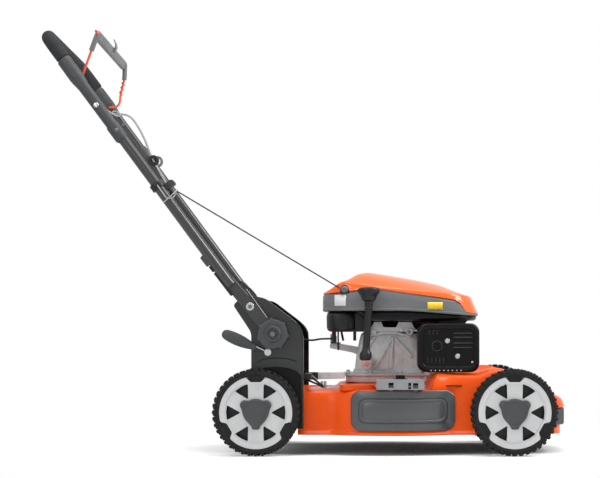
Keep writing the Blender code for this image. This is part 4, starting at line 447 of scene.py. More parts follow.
def addTyre(tag, x, side, w):
    spot = wheelSpot(x, side, w)
    bm = bmesh.new()
    rings = []
    pattern = ((0.0, 0.5, 0.5), (0.06, 1, 0), (0.25, 1, 0), (0.44, 1, 0), (0.5, 0.5, 0.5), (0.56, 0, 1),
               (0.94, 0, 1))
    for lug in range(w["lugs"]):
        for share, near, far in pattern:
            ring = []
            for r, out in tyreSection(w, near, far):
                lean = radians(w["slant"]) * ((out / w["width"]) - 1) if r > w["treadFloor"] - 0.0005 else 0
                a = 2 * pi * (lug + share - 0.25) / w["lugs"] - pi / 2 + lean
                ring.append(spot(r * cos(a), r * sin(a), out))
            rings.append(ring)
    loft(bm, rings, loop=True)
    # rubber fills the rim's notches, each with a raised arc
    for centre in w["notches"]:
        turn = Matrix.Rotation(radians(centre - 90), 2)
        corners = [(-0.0225, 0.0892, 0), (0.0225, 0.0892, 0), (0.0125, 0.0742, 0.004),
                   (-0.0125, 0.0742, 0.004)]
        outline = [turn @ Vector(p) for p in rounded(corners, 3)]
        levels = ((1, 0.036), (1, 0.0412), (0.985, 0.0424))
        rings = [[spot(p.x * scale, p.y * scale, out) for p in outline] for scale, out in levels]
        loft(bm, rings, capFirst=True, capLast=True)
        arc = [turn @ Vector((0.0165 * sin(t), 0.0905 - 0.0115 * cos(t)))
               for t in [radians(k * 10 - 75) for k in range(16)]]
        tube(bm, [spot(p.x, p.y, 0.0424) for p in arc], 0.0011, 8)
    addPiece("tyreDress_" + tag, bm, "tyreRubber", "wheel_" + tag, 28, replaced=["tyre_" + tag])


def addRim(tag, x, side, w):
    spot = wheelSpot(x, side, w)
    inside = w["track"] - w["width"]
    atHub = lambda rings: [[(x + p[0], w["hubHeight"] + p[1]) for p in ring] for ring in rings]
    bm = bmesh.new()
    windows = []
    for k in range(6):
        turn = Matrix.Rotation(radians(60 * k), 2)
        corners = rounded([(w["windowTip"], 0, 0.0022), (w["windowEdge"], -w["windowHalf"], 0.0022),
                           (w["windowEdge"] + 0.002, 0, 0.03), (w["windowEdge"], w["windowHalf"], 0.0022)], 3)
        windows.append([turn @ Vector(p) for p in corners])
    ends = sorted((side * (inside + 0.0352), side * (inside + 0.0412)))
    slab(bm, atHub([notchedRing(w, w["rimEdge"])] + windows), *ends)
    flange = [notchedRing(w, w["rimEdge"] - 0.0006), notchedRing(w, w["flange"], 0.0042)]
    ends = sorted((side * (inside + 0.041), side * (inside + 0.0436)))
    slab(bm, atHub(flange), *ends)
    addPiece("rimFace_" + tag, bm, "rimSilver", "wheel_" + tag, 30, 0.0006, ["rim_" + tag])
    # barrel, hub tube and ribs, seen from the inner side
    bm = bmesh.new()
    centre = Vector((x, side * inside, w["hubHeight"]))
    axis = (0, side, 0)
    spin(bm, [(0.0872, 0.0352), (0.0868, 0.011), (0.088, 0.004), (0.0862, 0.0036), (0.0845, 0.01),
              (0.0838, 0.0352)], centre, axis, 72, loop=True)
    spin(bm, [(0.0068, 0.0042), (0.0165, 0.0042), (0.0178, 0.006), (0.019, 0.0352), (0.0068, 0.0352)], centre,
         axis, 36, loop=True)
    for k in range(12):
        turn = Matrix.Rotation(radians(30 * k + 15), 2)
        corners = [turn @ Vector(p) for p in ((0.017, -0.0014), (0.0848, -0.0014), (0.0848, 0.0014),
                                              (0.017, 0.0014))]
        rings = [[spot(p.x, p.y, out) for p in corners] for out in (0.012, 0.0215)]
        loft(bm, rings, capFirst=True, capLast=True)
    addPiece("rimBarrel_" + tag, bm, "rimSilver", "wheel_" + tag, 32)
    # painted shade: a black dish behind the spoke windows, where the rim's own silver inside lies in shadow
    bm = bmesh.new()
    spin(bm, [(0.015, 0.0236), (0.085, 0.0206), (0.085, 0.019), (0.015, 0.022)], centre, axis, 48, loop=True)
    addPiece("rimWindowShade_" + tag, bm, "blackNylon", "wheel_" + tag, 40)


def addHubCap(tag, x, side, w):
    spot = wheelSpot(x, side, w)
    half = [Vector((a, b)) for a, b in capOutline]
    outline = smoothPath([p.to_3d() for p in half], 4)
    outline = [(p.x, p.y) for p in outline] + [(-p.x, p.y) for p in reversed(outline[1:-1])]
    levels = ((1.0, 0.0414), (1.0, 0.044), (0.985, 0.0462), (0.945, 0.0478), (0.88, 0.0486), (0.82, 0.0486),
              (0.79, 0.0474), (0.74, 0.0472), (0.45, 0.0478))
    rings = [[spot(a * scale, b * scale, out) for a, b in outline] for scale, out in levels]
    bm = bmesh.new()
    loft(bm, rings + [[spot(0, 0, 0.0479)]], capFirst=True)
    addPiece("capDress_" + tag, bm, "capGrey", "wheel_" + tag, 40,
             replaced=["hub_cap_" + tag])


for end, x in wheels["hubs"].items():
    for label, side in bothSides:
        tag = end + "_" + label
        addTyre(tag, x, side, wheels)
        addRim(tag, x, side, wheels)
        addHubCap(tag, x, side, wheels)
print("wheels dressed")


# engine covers: an orange ABS lid over a grey band, both a squarish oval round the crankshaft
covers = {"rear": 0.1695, "front": 0.223, "half": 0.165, "square": 4.5, "bottom": 0.35, "band": 0.053,
          "top": 0.45, "lip": 0.006, "points": 112}


def coverRing(c, inset, height, sink=None):
    points = []
    for angle in turns(c["points"], 0.5):
        reach = []
        for grow in (inset, 0.0):
            length = (c["front"] if cos(angle) > 0 else c["rear"]) - grow
            power = c["square"]
            total = abs(cos(angle) / length) ** power + abs(sin(angle) / (c["half"] - grow)) ** power
            reach.append(total ** (-1 / power))
        x, edgeX = (crankX + r * cos(angle) for r in reach)
        # walls take their height at the outer edge, the roof at its own place
        points.append(Vector((x, reach[0] * sin(angle), height(edgeX if sink is None else x) - (sink or 0))))
    return points


def bandFoot(x):
    return covers["bottom"] - 0.012 * smoothStep(0.02, covers["front"], x - crankX)


def bandSeam(x):
    ahead = x - crankX
    seam = (covers["bottom"] + covers["band"] - 0.01 * (1 - smoothStep(-covers["rear"], -0.03, ahead))
            - 0.145 * max(0.0, ahead + 0.02))
    nose = smoothStep(covers["front"] - 0.052, covers["front"] - 0.03, ahead)
    return seam * (1 - nose) + (bandFoot(x) + covers["lip"]) * nose


def coverCrease(x):
    ahead = x - crankX
    fall = 0.0355 * (max(0.0, ahead + 0.12) / (covers["front"] + 0.12)) ** 0.9
    return covers["top"] - 0.028 - 0.022 * (1 - smoothStep(-covers["rear"], -0.12, ahead)) - fall


def coverCrown(x):
    ahead = x - crankX
    fall = 0.05 * (max(0.0, ahead + 0.06) / (covers["front"] + 0.06)) ** 1.1
    return covers["top"] - 0.042 * (1 - smoothStep(-covers["rear"], -0.075, ahead)) - fall


def bandSideY(x):
    ahead = abs(x - crankX) / (covers["front"] if x > crankX else covers["rear"])
    return -covers["half"] * (1 - min(0.999, ahead) ** covers["square"]) ** (1 / covers["square"])


def rake(p):
    # the nose leans back towards its top
    lean = smoothStep(0.12, covers["front"], p.x - crankX)
    return Vector((p.x - 0.017 * lean * max(0.0, p.z - 0.348) / 0.05, p.y, p.z))


def addCovers(c):
    wall = [(0.002, lambda x: bandSeam(x) + 0.0004), (0.0014, lambda x: bandSeam(x) + 0.0012),
            (0.0014, lambda x: bandSeam(x) + 0.003),
            (0.0022, lambda x: bandSeam(x) * 0.8 + coverCrease(x) * 0.2),
            (0.004, lambda x: bandSeam(x) * 0.4 + coverCrease(x) * 0.6),
            (0.0052, lambda x: coverCrease(x) - 0.0016), (0.0064, lambda x: coverCrease(x) - 0.0003),
            (0.012, lambda x: coverCrease(x) + 0.0022)]
    rings = [coverRing(c, inset, height) for inset, height in wall]
    edge = rings[-1]
    for inset in (0.0165, 0.022, 0.03, 0.04, 0.052, 0.066, 0.082, 0.1, 0.118, 0.134, 0.146):
        rise = 1 - (1 - (inset - 0.012) / 0.134) ** 2.6
        roof = coverRing(c, inset, coverCrown, 0.0)
        rings.append([Vector((p.x, p.y, e.z + (p.z - e.z) * rise)) for p, e in zip(roof, edge)])
    bm = bmesh.new()
    loft(bm, [[rake(p) for p in ring] for ring in rings], capLast=True)
    lid = addPiece("coverLid", bm, "coverAbs", "chassis", 38, replaced=["top_cover"])
    thicken(lid, 0.0026)
    bm = bmesh.new()
    wall = [(0.0026, bandFoot), (0.0004, lambda x: bandFoot(x) + 0.0012),
            (0.0, lambda x: bandFoot(x) + 0.005), (0.0008, lambda x: bandFoot(x) + 0.0062),
            (0.0004, lambda x: bandSeam(x) * 0.55 + bandFoot(x) * 0.45),
            (0.0008, lambda x: bandSeam(x) * 0.86 + bandFoot(x) * 0.14),
            (0.0036, lambda x: bandSeam(x) - 0.0008), (0.006, lambda x: bandSeam(x) - 0.001),
            (0.006, lambda x: bandFoot(x) + 0.003), (0.0046, bandFoot)]
    loft(bm, [[rake(p) for p in coverRing(c, inset, height)] for inset, height in wall], loop=True)
    addPiece("bandDress", bm, "greyPolypropylene", "chassis", 30, replaced=["shroud_band"])


def addLabel(name, x0, x1, z0, z1, finish):
    bm = bmesh.new()
    stations = [x0 + (x1 - x0) * k / 10 for k in range(11)]
    loft(bm, [[(x, bandSideY(x) - 0.0009, z) for z in (z0, z1)] for x in stations], around=False)
    label = addPiece(name, bm, finish, "chassis")
    thicken(label, 0.0003, 0)


addCovers(covers)
addLabel("labelWhite", 0.0672, 0.0955, 0.3625, 0.3895, "labelVinyl")
addLabel("labelYellow", 0.2958, 0.333, 0.3535, 0.3715, "labelYellowVinyl")

# blower tray: a black bowl under the band, open round the crankshaft, its black deeper than the plastic's own
# as painted shade
bm = bmesh.new()
rings = []
for inset, low in ((0.004, 1.0), (0.0046, 0.333), (0.0062, 0.3292), (0.0105, 0.3272), (0.018, 0.3266),
                   (0.076, 0.3262), (0.085, 0.32), (0.092, 0.306), (0.145, 0.3026)):
    # the bowl's rim rises over the tank at the back
    ring = coverRing(covers, inset, bandFoot)
    for p in ring:
        p.z += (min(p.z - 0.0004, low) - p.z) * smoothStep(0.118, 0.146, p.x) - 0.0004
    rings.append(ring)
loft(bm, rings)
tray = addPiece("blowerTray", bm, "blackEnamel", "chassis", 40, replaced=["blower_housing"])
thicken(tray, 0.0018)

# fuel tank: blow-moulded, with its filler neck out on the left
tank = {"back": 0.0447, "front": 0.1268, "half": 0.1446, "neck": (0.089285, 0.188)}
levels = ((0.016, 0.2982), (0.0085, 0.2996), (0.0045, 0.3036), (0.0028, 0.309), (0.002, 0.336),
          (0.0036, 0.344), (0.008, 0.3486), (0.016, 0.35))
bm = bmesh.new()
loft(bm, [[(a, b, height) for a, b in roundedBox(tank["back"] + inset, -tank["half"] + inset,
                                                 tank["front"] - inset, tank["half"] - inset, 0.034, 8)]
          for inset, height in levels], capFirst=True, capLast=True)
neckX = tank["neck"][0]
slab(bm, [roundedBox(neckX - 0.03, 0.1, neckX + 0.03, 0.208, 0.02, 5)], 0.303, 0.336, "XY")
spin(bm, [(0.017, 0.334), (0.016, 0.34), (0.016, 0.3606), (0.015, 0.3616), (0, 0.3616)],
     (*tank["neck"], 0), (0, 0, 1), 28)
addPiece("tankDress", bm, "blackNylon", "chassis", 34, 0.001, ["fuel_tank"])

# the rope's eyelet: a black arch with a grey dome in it
bm = bmesh.new()
arch = [(0.0918 + 0.0112 * cos(t), 0.3975 + 0.017 * sin(t)) for t in [pi * k / 16 for k in range(17)]]
slab(bm, [arch + [(0.0806, 0.3935), (0.103, 0.3935)]], -0.16, -0.15)
addPiece("ropeArch", bm, "blackNylon", "chassis", 30, 0.0008)
bm = bmesh.new()
spin(bm, [(0.009, 0), (0.0088, 0.002), (0.0078, 0.0046), (0.0056, 0.0066), (0.0036, 0.0072), (0.003, 0.006),
          (0, 0.006)], (0.0918, -0.158, 0.403), steps=28)
addPiece("ropeEyelet", bm, "greyPolypropylene", "chassis", 40)

# oil filler: a black nylon tube with a flared foot, and its screw cap with grip ridges
oil = {"x": 0.151285, "y": -0.1925, "tube": 0.0088, "foot": 0.2285, "top": 0.358, "lean": 0.0085}
bm = bmesh.new()
spin(bm, [(0.006, oil["top"] - 0.004), (0.006, oil["top"] - 0.0006), (0.0094, oil["top"] - 0.0006),
          (0.0098, oil["top"] - 0.006), (oil["tube"], oil["top"] - 0.009), (oil["tube"], 0.262),
          (0.0104, 0.252), (0.0142, 0.247), (0.0152, 0.244), (0.0152, 0.236), (0.0138, 0.231),
          (0.01, oil["foot"]), (0, oil["foot"])],
     (oil["x"], oil["y"], 0), (0, 0, 1), 32)
for v in bm.verts:
    v.co.x -= oil["lean"] * (oil["top"] - v.co.z) / (oil["top"] - oil["foot"])
addPiece("oilTubeDress", bm, "blackNylon", "chassis", 40, replaced=["oil_tube"])
bm = bmesh.new()
tube(bm, smoothPath([(oil["x"] - oil["lean"], oil["y"] + 0.004, 0.239), (oil["x"] - 0.008, -0.17, 0.232),
                     (0.144285, -0.15, 0.227), (0.144285, -0.1288, 0.226)], 5), 0.0122, 20)
addPiece("oilElbow", bm, "castAluminium", "chassis", 40)
bm = bmesh.new()
spin(bm, [(0, 0.0503), (0.012, 0.05), (0.0205, 0.0486), (0.0246, 0.0462), (0.026, 0.043), (0.0256, 0.036),
          (0.0236, 0.0325), (0.0204, 0.029), (0.0186, 0.024), (0.0174, 0.018), (0.0108, 0.015),
          (0.01, 0.0003), (0.0018, 0.0003), (0.0018, -0.089), (0, -0.089)], (oil["x"], oil["y"], oil["top"]),
     (0, 0, 1), 40)
for a in turns(22):
    ridge = ((0.0254, 0.0455), (0.0255, 0.036))
    tube(bm, [(oil["x"] + r * cos(a), oil["y"] + r * sin(a), oil["top"] + h) for r, h in ridge], 0.001, 6)
addPiece("oilCapDress", bm, "blackNylon", "dipstick", 36, replaced=["oil_cap"])

# crankcase: a die-cast aluminium body on a bolted flange, ribs splayed below the cylinder
casting = {"finPitch": 0.012, "levels": ((0.092, 0.086, 0.02, 0.1946), (0.092, 0.086, 0.02, 0.201),
                                         (0.088, 0.081, 0.022, 0.2045), (0.084, 0.08, 0.024, 0.24),
                                         (0.077, 0.0785, 0.026, 0.275), (0.072, 0.074, 0.028, 0.293),
                                         (0.06, 0.064, 0.03, 0.301), (0.048, 0.052, 0.03, 0.305),
                                         (0.044, 0.048, 0.028, 0.3197))}
bm = bmesh.new()
loft(bm, [[(crankX + a, b, z) for a, b in roundedBox(-half, -deep, half, deep, corner, 5)]
          for half, deep, corner, z in casting["levels"]], capFirst=True, capLast=True)
# ribs run down and outwards from the top of the face
for top, foot in (((0.213, 0.286), (0.165, 0.206)), ((0.213, 0.286), (0.206, 0.206)),
                  ((0.218, 0.283), (0.26, 0.236)), ((0.172, 0.292), (0.138, 0.248))):
    tube(bm, [(top[0], -0.0795, top[1]), ((top[0] + foot[0]) / 2, -0.085, (top[1] + foot[1]) / 2),
              (foot[0], -0.084, foot[1])], [0.003, 0.0042, 0.0048], 8)
tube(bm, smoothPath([(0.156, -0.08, 0.29), (0.19, -0.085, 0.2955), (0.225, -0.085, 0.295),
                     (0.256, -0.08, 0.286)], 5), 0.0036, 8)
spin(bm, [(0.015, -0.002), (0.015, 0.042), (0.0135, 0.0435), (0, 0.0435)], (0.144285, -0.085, 0.226),
     steps=28)
spin(bm, [(0.0085, 0), (0.0085, 0.008), (0.007, 0.0092), (0.0036, 0.0092), (0.0034, 0.004), (0, 0.004)],
     (0.1477, -0.12, 0.2135), steps=24)
addPiece("crankcase", bm, "castAluminium", "chassis", 34, 0.0012)
# cylinder barrel and its cooling fins, towards the front
bm = bmesh.new()
spin(bm, [(0.037, 0.045), (0.037, 0.165), (0, 0.165)], (crankX, 0, 0.264), (1, 0, 0), 40)
for k in range(6):
    x = 0.2955 + k * casting["finPitch"]
    slab(bm, [roundedBox(-0.058, 0.2215, 0.058, 0.3065, 0.014, 4)], x, x + 0.0024, "YZ")
arm = rounded([(0.0535, 0.268, 0.003), (0.083, 0.268, 0.004), (0.144, 0.257, 0), (0.144, 0.234, 0),
               (0.11, 0.246, 0.02), (0.0535, 0.257, 0.003)], 3)
slab(bm, [arm], -0.03, -0.012)
addPiece("cylinderFins", bm, "castAluminium", "chassis", 30, 0.0006, ["engine_block"])
# the mounting rail under the blower, with its lugs, bolts and a hollow boss
bm = bmesh.new()
slab(bm, [roundedBox(0.157, 0.299, 0.268, 0.31, 0.003, 3)], -0.09, -0.076)
for x0, x1 in ((0.1585, 0.19), (0.22, 0.266)):
    slab(bm, [rounded([(x0, 0.308, 0), (x1, 0.308, 0), (x1 - 0.007, 0.323, 0.002),
                       (x0 + 0.007, 0.323, 0.002)], 2)], -0.092, -0.07)
spin(bm, [(0.009, -0.01), (0.009, 0.012), (0.008, 0.013), (0.0042, 0.013), (0.004, 0.002), (0, 0.002)],
     (0.2545, -0.084, 0.299), steps=28)
addPiece("blowerRail", bm, "castAluminium", "chassis", 30, 0.0008)
bm = bmesh.new()
bolt(bm, (0.164, -0.09, 0.2985), across=0.01, height=0.006, washer=0.0075)
bolt(bm, (0.233, -0.09, 0.3035), across=0.008, height=0.0045, washer=0.006)
for a in (0.1, 0.156, 0.23, 0.288):
    for b in (-0.0922, 0.0922):
        bolt(bm, (a, b, 0.1944), (0, 0, 1), 0.008, 0.005, 0.0058)
addPiece("engineBolts", bm, "machinedSteel", "chassis", 30)
# sump: a shallow cast pan with a machined flange
levels = ((-0.006, 0.1724), (-0.003, 0.1732), (-0.003, 0.1868), (0.003, 0.1884), (0.004, 0.1892),
          (0.004, 0.1936), (0.0032, 0.1944))
bm = bmesh.new()
loft(bm, [[(a, b, z) for a, b in roundedBox(0.0915 - grow, -0.095 - grow, 0.3 + grow, 0.095 + grow, 0.02, 5)]
          for grow, z in levels], capFirst=True, capLast=True)
addPiece("sumpDress", bm, "castAluminium", "chassis", 30, 0.0005, ["oil_sump"])

# a black shroud over the cylinder head's front, and the spark plug's boot with its lead
bm = bmesh.new()
slab(bm, [rounded([(0.328, 0.315, 0.004), (0.39, 0.317, 0.006), (0.4, 0.33, 0.004), (0.4, 0.342, 0),
                   (0.328, 0.342, 0)], 3)], -0.12, 0.05)
addPiece("headShroud", bm, "blackNylon", "chassis", 30, 0.0015)
bm = bmesh.new()
spin(bm, [(0.006, 0.411), (0.0075, 0.4118), (0.008, 0.418), (0.0072, 0.423), (0.008, 0.424), (0.008, 0.433),
          (0.0062, 0.435), (0, 0.435)], (0, 0, 0.262), (1, 0, 0), 20)
tube(bm, smoothPath([(0.429, 0, 0.264), (0.429, 0, 0.272), (0.425, 0.004, 0.279), (0.414, 0.008, 0.284)], 5),
     [0.0062] * 6 + [0.0042] * 10, 12)
addPiece("plugBoot", bm, "blackNylon", "chassis", 40, replaced=["spark_plug"])

# muffler guard: deep-drawn black sheet, a sunk panel with louvres, a round port and two hex bolts
guard = {"back": 0.270285, "front": 0.422285, "low": 0.1995, "high": 0.3195, "face": -0.19, "deep": 0.06,
         "louvres": (0.2935, 0.2835, 0.2695, 0.2585), "louvreHalf": 0.0016,
         "slits": ((0.03, 0.292, 0.302, 3), (0.027, 0.2225, 0.235, 5)),
         "slitPitch": 0.0095, "slitWidth": 0.0035}


def guardRings(g, levels):
    rings = []
    for inset, sink, corner in levels:
        low, high = g["low"] + inset, g["high"] - inset
        edge = roundedBox(g["back"] + inset, low, g["front"] - inset, high, corner, 6)
        rings.append([(a, g["face"] + sink, b) for a, b in edge])
    return rings


def addGuard(g):
    bm = bmesh.new()
    a0, b0, a1, b1, y = g["back"], g["low"], g["front"], g["high"], g["face"]
    loft(bm, guardRings(g, ((0.0, g["deep"], 0.022), (0.0, 0.008, 0.022), (0.0016, 0.003, 0.021),
                            (0.005, 0.0004, 0.018), (0.0115, 0.0, 0.014), (0.0135, 0.0012, 0.013),
                            (0.015, 0.004, 0.012))))
    loft(bm, guardRings(g, ((0.0026, 0.0065, 0.02), (0.0026, g["deep"], 0.02))))
    slits = [(a0 + first + k * g["slitPitch"], low, high)
             for first, low, high, count in g["slits"] for k in range(count)]
    port = lambda radius: [(a0 + 0.048 + radius * cos(t), 0.264 + radius * sin(t)) for t in turns(28)]
    openings = [roundedBox(a0 + 0.09, b - g["louvreHalf"], a0 + 0.132, b + g["louvreHalf"], 0.0014, 2)
                for b in g["louvres"]]
    openings += [roundedBox(a, low, a + g["slitWidth"], high, 0.0014, 2) for a, low, high in slits]
    openings.append(port(0.0112))
    panel = roundedBox(a0 + 0.0148, b0 + 0.0148, a1 - 0.0148, b1 - 0.0148, 0.012, 6)
    slab(bm, [panel] + openings, y + 0.0036, y + 0.0052)
    addPiece("guardDress", bm, "blackEnamel", "chassis", 34, replaced=["muffler_guard"])
    # raised lips over the louvres and round the port, set a little lighter as painted highlight on their
    # edges
    bm = bmesh.new()
    for b in g["louvres"]:
        tube(bm, [(a, y + 0.0036, b + 0.0017) for a in (a0 + 0.088, a0 + 0.134)], 0.0014, 8)
    for a, low, high in slits:
        tube(bm, [(a - 0.001, y + 0.0036, b) for b in (low - 0.0005, high + 0.0005)], 0.001, 8)
    tube(bm, [(a, y + 0.0036, b) for a, b in port(0.012)], 0.001, 8, loop=True)
    addPiece("guardLips", bm, "darkEnamel", "chassis", 40)
    bm = bmesh.new()
    slab(bm, [roundedBox(a0 + 0.018, b0 + 0.018, a1 - 0.018, b1 - 0.018, 0.01, 4)], y + 0.0058, y + 0.0072)
    addPiece("guardShade", bm, "blackEnamel", "chassis", 30, 0.0005)
    bm = bmesh.new()
    for a, b in ((a0 + 0.073, 0.276), (a0 + 0.098, 0.2385)):
        bolt(bm, (a, y + 0.004, b), across=0.009, height=0.005, washer=0.006)
    domeScrew(bm, (a0 + 0.134, y + 0.003, 0.2245), radius=0.003, height=0.0022)
    for k in range(8):
        domeScrew(bm, (a0 + 0.033 + k * 0.0105, y + 0.001, b0 + 0.0045), radius=0.0017, height=0.0012)
    addPiece("guardBolts", bm, "zincPlate", "chassis", 30)


addGuard(guard)
print("engine dressed")

# side discharge door: moulded polypropylene, curved with the chamber's wall,
# with a raised field and a sunk middle
door = {"back": 0.107285, "front": 0.361285, "low": 0.059, "high": 0.157, "corner": 0.024, "chamber": 0.249,
        "halfWidth": 0.203, "ahead": 0.425}


def wallY(x, d=door):
    along = x - crankX
    circle = max(0.0, d["chamber"] ** 2 - along ** 2) ** 0.5
    square = d["halfWidth"] * (1 - min(0.999, abs(along) / d["ahead"]) ** 6) ** (1 / 6)
    return -max(circle, square)


def dense(outline, step=0.006):
    points = []
    for (a, b), (c, e) in zip(outline, outline[1:] + outline[:1]):
        parts = max(1, int(hypot(c - a, e - b) / step))
        points += [(a + (c - a) * k / parts, b + (e - b) * k / parts) for k in range(parts)]
    return points


def addDoor(d):
    bm = bmesh.new()
    levels = [(0.0, 0.0016), (0.0, 0.0046), (0.0008, 0.0058), (0.0024, 0.0066), (0.0182, 0.007),
              (0.0188, 0.0056), (0.0202, 0.0056), (0.0208, 0.0088), (0.0216, 0.01), (0.025, 0.0104),
              (0.0262, 0.0098), (0.0272, 0.0084), (0.0284, 0.009), (0.033, 0.0098), (0.04, 0.0106),
              (0.049, 0.0108)]
    base = dense(roundedBox(d["back"], d["low"], d["front"], d["high"], d["corner"], 6))
    cx, cz = (d["back"] + d["front"]) / 2, (d["low"] + d["high"]) / 2
    halfX, halfZ = (d["front"] - d["back"]) / 2, (d["high"] - d["low"]) / 2
    rings = []
    for inset, proud in levels:
        ring = []
        for x, z in base:
            # shrink towards the door's middle line so that the rings keep the same count of points
            px = cx + (x - cx) * (halfX - inset) / halfX
            pz = cz + (z - cz) * (halfZ - inset) / halfZ
            ring.append((px, wallY(px) - proud, pz))
        rings.append(ring)
    rows = loft(bm, rings)
    # the back skin follows the wall too
    back = [bm.verts.new((x, wallY(x) - 0.0014, z)) for x, z in base]
    skin(bm, [back, rows[0]])
    bmesh.ops.remove_doubles(bm, verts=rows[-1], dist=0.0004)
    # two hinge eyes, each in line with a window of the bracket
    for x0, x1 in ((0.1985, 0.2095), (0.257, 0.2685)):
        eye = [(-0.259, 0.156, 0.001), (-0.2505, 0.156, 0.001), (-0.2505, 0.1715, 0.004),
               (-0.259, 0.1715, 0.004)]
        slab(bm, [rounded(eye, 4)], x0, x1, "YZ")
    addPiece("doorDress", bm, "doorPolypropylene", "door", 34, replaced=["side_door"])


addDoor(door)
print("door dressed")


# deck: pressed steel, a squarish pan grown round the blade's circle, with a hood over the front wheels
deck = {"front": 0.425, "rear": 0.36, "half": 0.203, "chamber": 0.249, "lip": 0.052,
        "top": 0.158, "hood": 0.052, "step": 0.094, "platform": 0.125, "platformTop": 0.172, "points": 200,
        "ledge": 0.011, "bumperTop": 0.11, "sink": 0.016}


def deckWallPoint(angle, d=deck):
    length = d["front"] if cos(angle) > 0 else d["rear"]
    square = (abs(cos(angle) / length) ** 6 + abs(sin(angle) / d["half"]) ** 6) ** (-1 / 6)
    # the blade's circle swells out of the straight walls through a soft fillet
    reach = (square ** 60 + d["chamber"] ** 60) ** (1 / 60)
    return Vector((cos(angle), sin(angle))) * reach


def deckRing(d, offset, height, ledge=0.0):
    ring = []
    for a in turns(d["points"], 0.5):
        here, ahead = deckWallPoint(a), deckWallPoint(a + 1e-4)
        run = (ahead - here).normalized()
        step = offset + ledge * smoothStep(d["front"] * 0.855, d["front"] * 0.875, here.x)
        p = Vector((crankX, 0)) + here + Vector((run.y, -run.x)) * step
        ring.append(Vector((p.x, p.y, height(p.x))))
    return ring


def deckRoof(x, d=deck):
    ahead = x - crankX
    rise = d["hood"] * (0.72 * smoothStep(d["step"] - 0.004, d["step"] + 0.018, ahead)
                        + 0.28 * smoothStep(0.205, 0.255, ahead))
    return d["top"] + rise - (d["hood"] + 0.022) * smoothStep(0.25, d["front"] + 0.02, ahead)


def cutAway(piece, boxes):
    # box cutters are used once and thrown away
    for low, high in boxes:
        bm = bmesh.new()
        base = [(low[0], low[1]), (high[0], low[1]), (high[0], high[1]), (low[0], high[1])]
        slab(bm, [base], low[2], high[2], "XY")
        mesh = bpy.data.meshes.new("cutter")
        bm.to_mesh(mesh)
        bm.free()
        cutter = bpy.data.objects.new("cutter", mesh)
        bpy.context.scene.collection.objects.link(cutter)
        cut = piece.modifiers.new("cut", "BOOLEAN")
        cut.operation, cut.solver, cut.object = "DIFFERENCE", "EXACT", cutter
        bpy.context.view_layer.update()
        done = bpy.data.meshes.new_from_object(piece.evaluated_get(bpy.context.evaluated_depsgraph_get()))
        piece.modifiers.clear()
        piece.data = done
        bpy.data.objects.remove(cutter)


def addDeck(d):
    lip, top = d["lip"], lambda share: (lambda x: d["lip"] + (deckRoof(x) - d["lip"]) * share)
    ledge = d["ledge"]
    rings = [deckRing(d, 0.0084, lambda x: lip - 0.004), deckRing(d, 0.0086, lambda x: lip - 0.0022),
             deckRing(d, 0.0076, lambda x: lip - 0.0004), deckRing(d, 0.0046, lambda x: lip + 0.0026),
             deckRing(d, 0.0018, lambda x: lip + 0.0056), deckRing(d, 0.0004, lambda x: lip + 0.0078),
             deckRing(d, 0, lambda x: lip + 0.011),
             deckRing(d, -0.0004, lambda x: d["bumperTop"] + 0.0006, 0),
             deckRing(d, -0.0006, lambda x: d["bumperTop"] + 0.0024, ledge * 0.9),
             deckRing(d, -0.0008, lambda x: d["bumperTop"] + 0.005, ledge),
             deckRing(d, -0.0026, top(0.78), ledge), deckRing(d, -0.0046, top(0.88), ledge),
             deckRing(d, -0.009, top(0.945), ledge), deckRing(d, -0.014, top(0.98), ledge),
             deckRing(d, -0.022, top(1.0), ledge * 0.8),
             deckRing(d, -0.032, lambda x: deckRoof(x) + 0.001, ledge * 0.5)]
    rings.append([Vector((p.x, p.y, high.z)) for p, high in zip(deckRing(d, -0.045, deckRoof), rings[-1])])
    for ring, share in zip(rings[-3:], (0.35, 0.75, 1.0)):
        for p in ring:
            p.z -= d["sink"] * share * (1 - smoothStep(0.05, 0.092, p.x))
    edge = rings[-1]
    foot = d["platform"] + 0.016
    for share in (0.3, 0.6, 0.85):
        ring = []
        for a, p in zip(turns(d["points"], 0.5), edge):
            goal = Vector((crankX + foot * cos(a), foot * sin(a), d["top"] + 0.003))
            ring.append(p.lerp(goal, share))
        rings.append(ring)
    for radius, height in ((d["platform"] + 0.014, d["top"] + 0.0035),
                           (d["platform"] + 0.009, d["top"] + 0.006),
                           (d["platform"] + 0.003, d["platformTop"] - 0.002),
                           (d["platform"] - 0.002, d["platformTop"]), (0.0325, d["platformTop"])):
        rings.append([(crankX + radius * cos(a), radius * sin(a), height)
                      for a in turns(d["points"], 0.5)])
    # the foot of the wall flares out, less so round the front
    for ring in rings[:6]:
        for p, straight in zip(ring, rings[6]):
            share = smoothStep(0.5, 0.56, straight.x)
            p.x += (straight.x - p.x) * share
            p.y += (straight.y - p.y) * share
    bm = bmesh.new()
    loft(bm, rings)
    shell = addPiece("deckSkin", bm, "deckPowderCoat", "chassis", 50, replaced=["deck_shell"])
    # the sheet's inner side takes the second slot, the near-black painted shade
    thicken(shell, 0.002).material_offset = 1
    shell.data.materials.append(finishes["deckInsideShade"])
    rearOpening = ((-0.22, -0.3, 0), (-0.0217, 0.3, 0.138))
    sideOutlet = ((0.152285, -0.27, 0.074), (0.316285, -0.193, 0.128))
    axleSlots = [((0.487285, side * 0.195 - 0.045, 0.04), (0.513285, side * 0.195 + 0.045, 0.116))
                 for side in (-1, 1)]
    cutAway(shell, [rearOpening, sideOutlet] + axleSlots)
    shell.data.shade_smooth()
    shell.data.set_sharp_from_angle(angle=radians(40))


addDeck(deck)
